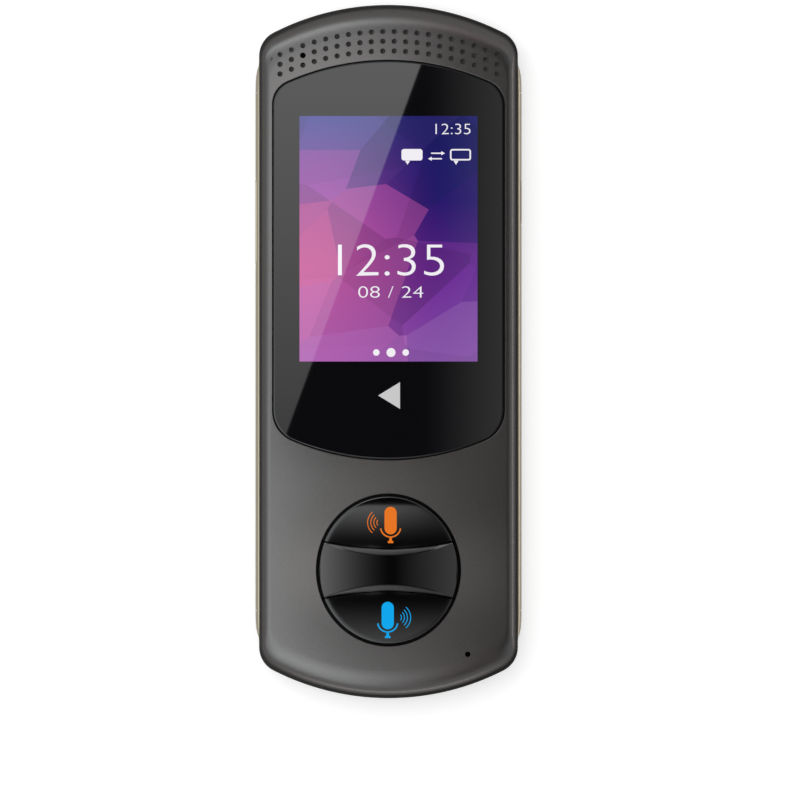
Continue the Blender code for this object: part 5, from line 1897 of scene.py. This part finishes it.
INSIDES = {
    "window_adhesive": FOAM,
    "lcd_module": DARK_STEEL,
    "lcd_ribbon": FILM,
    "lcd_socket": WHITE,
    "speaker": DARK_STEEL,
    "speaker_gasket": FOAM,
    "top_microphone": MEMBRANE,
    "top_mic_boot": RUBBER,
    "low_microphone": MEMBRANE,
    "low_mic_boot": RUBBER,
    "keypad": RUBBER,
    "upper_dome": STEEL,
    "lower_dome": STEEL,
    "main_board": BOARD,
    **{f"board_screw_{number}": STEEL for number in range(1, 7)},
    "shield_can": STEEL,
    "memory_chip": CHIP,
    "radio_antenna": CERAMIC,
    "battery": POUCH,
    "battery_pad": FOAM,
    "battery_plug": WHITE,
    "battery_lead": RUBBER,
    "power_switch": CHIP,
    "volume_up_switch": CHIP,
    "volume_down_switch": CHIP,
}


@dataclass
class Lamp:
    """A soft rectangular lamp on an arm that swings over the object."""

    name: str
    swing: float
    tip: float
    distance: float
    size: Pair
    radiance: float
    mirrored: bool = True

    def hang(self) -> None:
        """Hang the lamp, facing the object."""
        data = bpy.data.lights.new(self.name, "AREA")
        data.shape = "RECTANGLE"
        data.size, data.size_y = self.size
        data.energy = self.radiance * math.pi * self.size[0] * self.size[1]
        lamp = bpy.data.objects.new(self.name, data)
        swing = Matrix.Rotation(math.radians(self.swing), 4, "Y")
        tip = Matrix.Rotation(math.radians(-self.tip), 4, "X")
        lamp.matrix_world = swing @ tip @ Matrix.Translation((0.0, 0.0, self.distance))
        lamp.visible_glossy = self.mirrored
        bpy.context.scene.collection.objects.link(lamp)


def square(name: str, half: float, centre: Tuple[float, float, float] = (0.0, 0.0, 0.0)) -> bpy.types.Object:
    """Add a level square to the studio.

    Args:
        name: Its name.
        half: Half its side.
        centre: Its middle.

    Returns:
        The square's object.
    """
    bm = bmesh.new()
    bmesh.ops.create_grid(bm, x_segments=1, y_segments=1, size=half, matrix=Matrix.Translation(centre))
    mesh = bpy.data.meshes.new(name)
    bm.to_mesh(mesh)
    bm.free()
    made = bpy.data.objects.new(name, mesh)
    bpy.context.scene.collection.objects.link(made)
    return made


@dataclass(frozen=True)
class Ramp:
    """A smooth rise between two places, to a given amount."""

    low: float
    high: float
    amount: float = 1.0

    def at(self, place: Signal) -> Signal:
        """Return the rise at a place."""
        return place.step(self.low, self.high) * self.amount


@dataclass
class Card:
    """Low card over the object whose light the gloss surfaces mirror.

    Its pattern is laid out where it shows on level glass, in millimetres.
    """

    height: float = 60.0 * MM
    half: float = 110.0 * MM
    glass: float = 12.3 * MM
    edge_top: Pair = (6.5, 57.5)
    edge_low: Pair = (-20.2, -15.7)
    edge_blur: float = 0.12
    veil: Pair = (1.44, 0.0201)
    right_glow: Ramp = Ramp(6.0, 27.0, 0.7)
    right_edge: Ramp = Ramp(0.0, 0.1)
    upper_key: Ramp = Ramp(6.5, 25.5)
    upper_fade: Ramp = Ramp(-8.0, 22.0, 1.8)
    upper_light: float = 2.6
    lower_key: Ramp = Ramp(7.0, 27.0)
    lower_light: float = 1.3
    key_curve: float = 1.3
    hollow_left: Tuple[float, float, float] = (12.4, 2.0, 3.1)
    hollow_right: Tuple[float, float, float] = (10.8, 1.15, 1.06)
    hollow_middle: float = 0.4
    hollow_end: Ramp = Ramp(6.4, 8.0)
    beyond_hollow: float = 1.8
    beyond_fade: Ramp = Ramp(-1.0, 1.0, 0.9)
    seam: Ramp = Ramp(6.9, 7.5)
    fade: Ramp = Ramp(-48.0, 34.0)
    paint_light: Pair = (3.05, 0.03)
    far_left: Ramp = Ramp(10.0, 66.0, 0.62)
    far_right: Ramp = Ramp(26.0, 80.0, 0.55)
    upper_dim: Ramp = Ramp(50.0, 64.0, 0.35)
    top_glow: Tuple[Ramp, Ramp] = (Ramp(85.0, 93.0, 3.9), Ramp(97.0, 106.0))
    low_glow: Tuple[Ramp, Ramp] = (Ramp(73.0, 81.0, 0.6), Ramp(85.0, 93.0))
    glow_floor: float = 0.3
    middle: Tuple[Ramp, Ramp] = (Ramp(-26.0, -10.0, 0.26), Ramp(-2.0, 16.0, 0.7))
    below_window: Tuple[Ramp, Ramp] = (Ramp(-42.0, -30.0), Ramp(-22.0, -12.0))
    below_floor: float = 0.06
    beside: Tuple[Ramp, Ramp] = (Ramp(16.0, 26.0, 0.16), Ramp(-16.0, 0.0))
    window_side: Ramp = Ramp(23.2, 23.4)
    window_ends: Tuple[Ramp, Ramp] = (Ramp(-22.6, -22.4), Ramp(58.3, 58.5))
    keys_y: float = -43.7
    keys_squares: Pair = (529.0, 540.0)
    keys_edge: Ramp = Ramp(0.98, 1.02)
    cool: Colour = (0.94, 1.0, 1.035)
    warm: Colour = (1.12, 0.92, 0.89)
    warm_from: Ramp = Ramp(-4.0, 30.0)
    cool_from: Ramp = Ramp(34.0, 50.0)

    def window(self, u: Signal, v: Signal) -> Signal:
        """Return the light over the window: a veil with a straight slanted edge.

        Args:
            u: The place across.
            v: The place along.

        Returns:
            The radiance.
        """
        slope = (self.edge_top[0] - self.edge_low[0]) / (self.edge_top[1] - self.edge_low[1])
        beyond = u - self.edge_top[0] - (v - self.edge_top[1]) * slope
        level, climb = self.veil
        veil = (1.0 - beyond.step(-self.edge_blur, self.edge_blur)) * (level + v * climb)
        return veil + self.right_glow.at(u) * self.right_edge.at(beyond)

    def keys(self, u: Signal, v: Signal) -> Signal:
        """Return the light over the talk keys and the rest between them.

        Args:
            u: The place across.
            v: The place along, from the middle of the keys.

        Returns:
            The radiance.
        """
        upper = self.upper_key.at(v).power(self.key_curve) * (self.upper_light - self.upper_fade.at(u))
        lower = self.lower_key.at(-1.0 * v).power(self.key_curve) * self.lower_light
        off = u - self.hollow_middle
        size = abs(off)
        hollow = 0.0
        for reach, (width, curve, light) in ((size - off, self.hollow_left), (size + off, self.hollow_right)):
            hollow = (reach / width).power(curve) * light + hollow
        beyond = self.hollow_end.at(size)
        rest = hollow * (1.0 - beyond) + beyond * (self.beyond_hollow - self.beyond_fade.at(off))
        across = self.seam.at(abs(v))
        return rest * (1.0 - across) + (upper + lower) * across

    def around(self, u: Signal, v: Signal) -> Signal:
        """Return the light over the paint, which fades from left to right.

        Args:
            u: The place across.
            v: The place along.

        Returns:
            The radiance.
        """
        left, down = -1.0 * u, -1.0 * v
        fade = 1.0 - self.fade.at(u)
        top = self.top_glow[0].at(v) * (1.0 - self.top_glow[1].at(v))
        low = self.low_glow[0].at(down) * (1.0 - self.low_glow[1].at(down))
        middle = self.middle[0].at(u) * (1.0 - self.middle[1].at(u)) - self.below_floor
        lift = self.below_window[0].at(v) * (1.0 - self.below_window[1].at(v)) * middle
        beside = self.beside[0].at(left) * self.beside[1].at(v)
        bright, floor = self.paint_light
        paint = (fade * bright + floor) * (1.0 - self.far_left.at(left)) * (1.0 - self.upper_dim.at(v))
        ends = (top + low) * (self.glow_floor + fade)
        return paint * (1.0 + lift - beside) + self.far_right.at(u) + ends

    def hang(self, aim: Pair, eye: float) -> None:
        """Hang the card.

        Args:
            aim: The place that the camera looks down on.
            eye: The camera's height.
        """
        card = square("card", self.half, (*aim, self.height))
        graph = Graph("card glow")
        x, y, _ = graph.axes()
        grow = 1.0 + (self.height - self.glass) / (eye - self.glass)
        middle = (aim[0] / MM, aim[1] / MM)
        u = (x - middle[0]) / grow + middle[0]
        v = (y - middle[1]) / grow + middle[1]
        low, high = self.window_ends
        over_window = (1.0 - self.window_side.at(abs(u))) * low.at(v) * (1.0 - high.at(v))
        rise = v - self.keys_y
        across, along = self.keys_squares
        over_keys = (1.0 - self.keys_edge.at(u * u / across + rise * rise / along)) * (1.0 - over_window)
        light = self.around(u, v) * (1.0 - over_window) + self.window(u, v) * over_window
        light = light * (1.0 - over_keys) + self.keys(u, rise) * over_keys
        plain = 1.0 - (1.0 - over_window) * (1.0 - over_keys)
        warmed = graph.blend(self.warm_from.at(u), self.cool, self.warm)
        tone = graph.blend(plain, graph.blend(self.cool_from.at(u), warmed, self.cool), (1.0, 1.0, 1.0))
        glow = graph.node("ShaderNodeEmission", None, {"Color": tone, "Strength": light})
        graph.shade(glow.outputs[0])
        card.data.materials.append(graph.material)
        card.visible_camera = False
        card.visible_diffuse = False
        card.visible_shadow = False
        card.visible_transmission = False


@dataclass
class Studio:
    """Camera, lamps, the card over the object, floor and white surroundings."""

    distance: float = 4.0
    aim: Pair = (2.8 * MM, -10.2 * MM)
    span: float = 161.0 * MM
    level: float = 12.0 * MM
    sky: float = 0.62
    sensor: float = 36.0
    clip_start: float = 50.0 * MM
    floor_half: float = 3.0
    floor_sunk: float = 0.02 * MM
    floor_tone: Colour = (0.76, 0.76, 0.76)
    floor_mottle: Pair = (0.3, 0.02)
    floor_glow: float = 0.5
    lamps: Sequence[Lamp] = (
        Lamp("key light", -20.0, 15.0, 0.8, (0.7, 0.7), 1.6, mirrored=False),
        Lamp("right strip", 87.0, 0.0, 0.4, (0.03, 0.3), 5.0),
        Lamp("low strip", 0.0, -86.0, 0.4, (0.3, 0.04), 3.2),
        Lamp("under light", 180.0, 0.0, 0.8, (0.7, 0.7), 1.6),
    )

    def camera(self) -> None:
        """Look straight down, as the photograph does."""
        data = bpy.data.cameras.new("camera")
        data.sensor_width = self.sensor
        data.lens = data.sensor_width * self.distance / self.span
        data.clip_start = self.clip_start
        camera = bpy.data.objects.new("camera", data)
        camera.location = (*self.aim, self.distance + self.level)
        bpy.context.scene.collection.objects.link(camera)
        bpy.context.scene.camera = camera

    def floor(self) -> None:
        """Lay a pale floor that is white to the camera and keeps a soft shadow."""
        floor = square("floor", self.floor_half)
        floor.location = (0.0, 0.0, -self.floor_sunk)
        graph = Graph("pale floor")
        paths = graph.node("ShaderNodeLightPath")
        seen = Signal(graph, paths.outputs["Is Camera Ray"])
        density, mottle = self.floor_mottle
        tone = graph.tint(self.floor_tone, 1.0 + (graph.noise(density) - 0.5) * mottle)
        diffuse = graph.node("ShaderNodeBsdfDiffuse", None, {"Color": tone})
        glow = graph.node("ShaderNodeEmission", None, {"Strength": seen * self.floor_glow})
        both = graph.node("ShaderNodeAddShader", None, {0: diffuse.outputs[0], 1: glow.outputs[0]})
        clear = graph.node("ShaderNodeBsdfTransparent")
        under = Signal(graph, graph.node("ShaderNodeNewGeometry").outputs["Backfacing"])
        shadow = Signal(graph, paths.outputs["Is Shadow Ray"])
        hidden = graph.maths("MAXIMUM", under, shadow)
        mix = graph.node("ShaderNodeMixShader", None, {0: hidden, 1: both.outputs[0], 2: clear.outputs[0]})
        graph.shade(mix.outputs[0])
        floor.data.materials.append(graph.material)

    def surroundings(self) -> None:
        """Make the world white to the camera and softly grey to the object."""
        world = bpy.data.worlds.new("surroundings")
        world.use_nodes = True
        bpy.context.scene.world = world
        tree = world.node_tree
        grey, white = tree.nodes["Background"], tree.nodes.new("ShaderNodeBackground")
        for node, strength in ((grey, self.sky), (white, 1.0)):
            node.inputs["Color"].default_value = (1.0, 1.0, 1.0, 1.0)
            node.inputs["Strength"].default_value = strength
        paths = tree.nodes.new("ShaderNodeLightPath")
        mix = tree.nodes.new("ShaderNodeMixShader")
        tree.links.new(paths.outputs["Is Camera Ray"], mix.inputs[0])
        tree.links.new(grey.outputs[0], mix.inputs[1])
        tree.links.new(white.outputs[0], mix.inputs[2])
        tree.links.new(mix.outputs[0], tree.nodes["World Output"].inputs["Surface"])

    def build(self) -> None:
        """Set up camera, lamps, card, floor and surroundings."""
        bpy.context.scene.view_settings.view_transform = "Standard"
        self.camera()
        for lamp in self.lamps:
            lamp.hang()
        Card().hang(self.aim, self.distance + self.level)
        self.floor()
        self.surroundings()


def main() -> None:
    """Build every sub-assembly in order."""
    logging.basicConfig(level=logging.INFO, format="%(name)s: %(message)s")
    for part in (
        Studio(),
        FrontShell(),
        GrilleCloth(),
        BackShell(),
        SideBand(),
        DisplayWindow(),
        TalkKeys(),
        SideKeys(),
        ChargingSocket(),
        Insides(INSIDES),
    ):
        LOG.info("building %s", type(part).__name__)
        part.build()


if __name__ == "__main__":
    main()
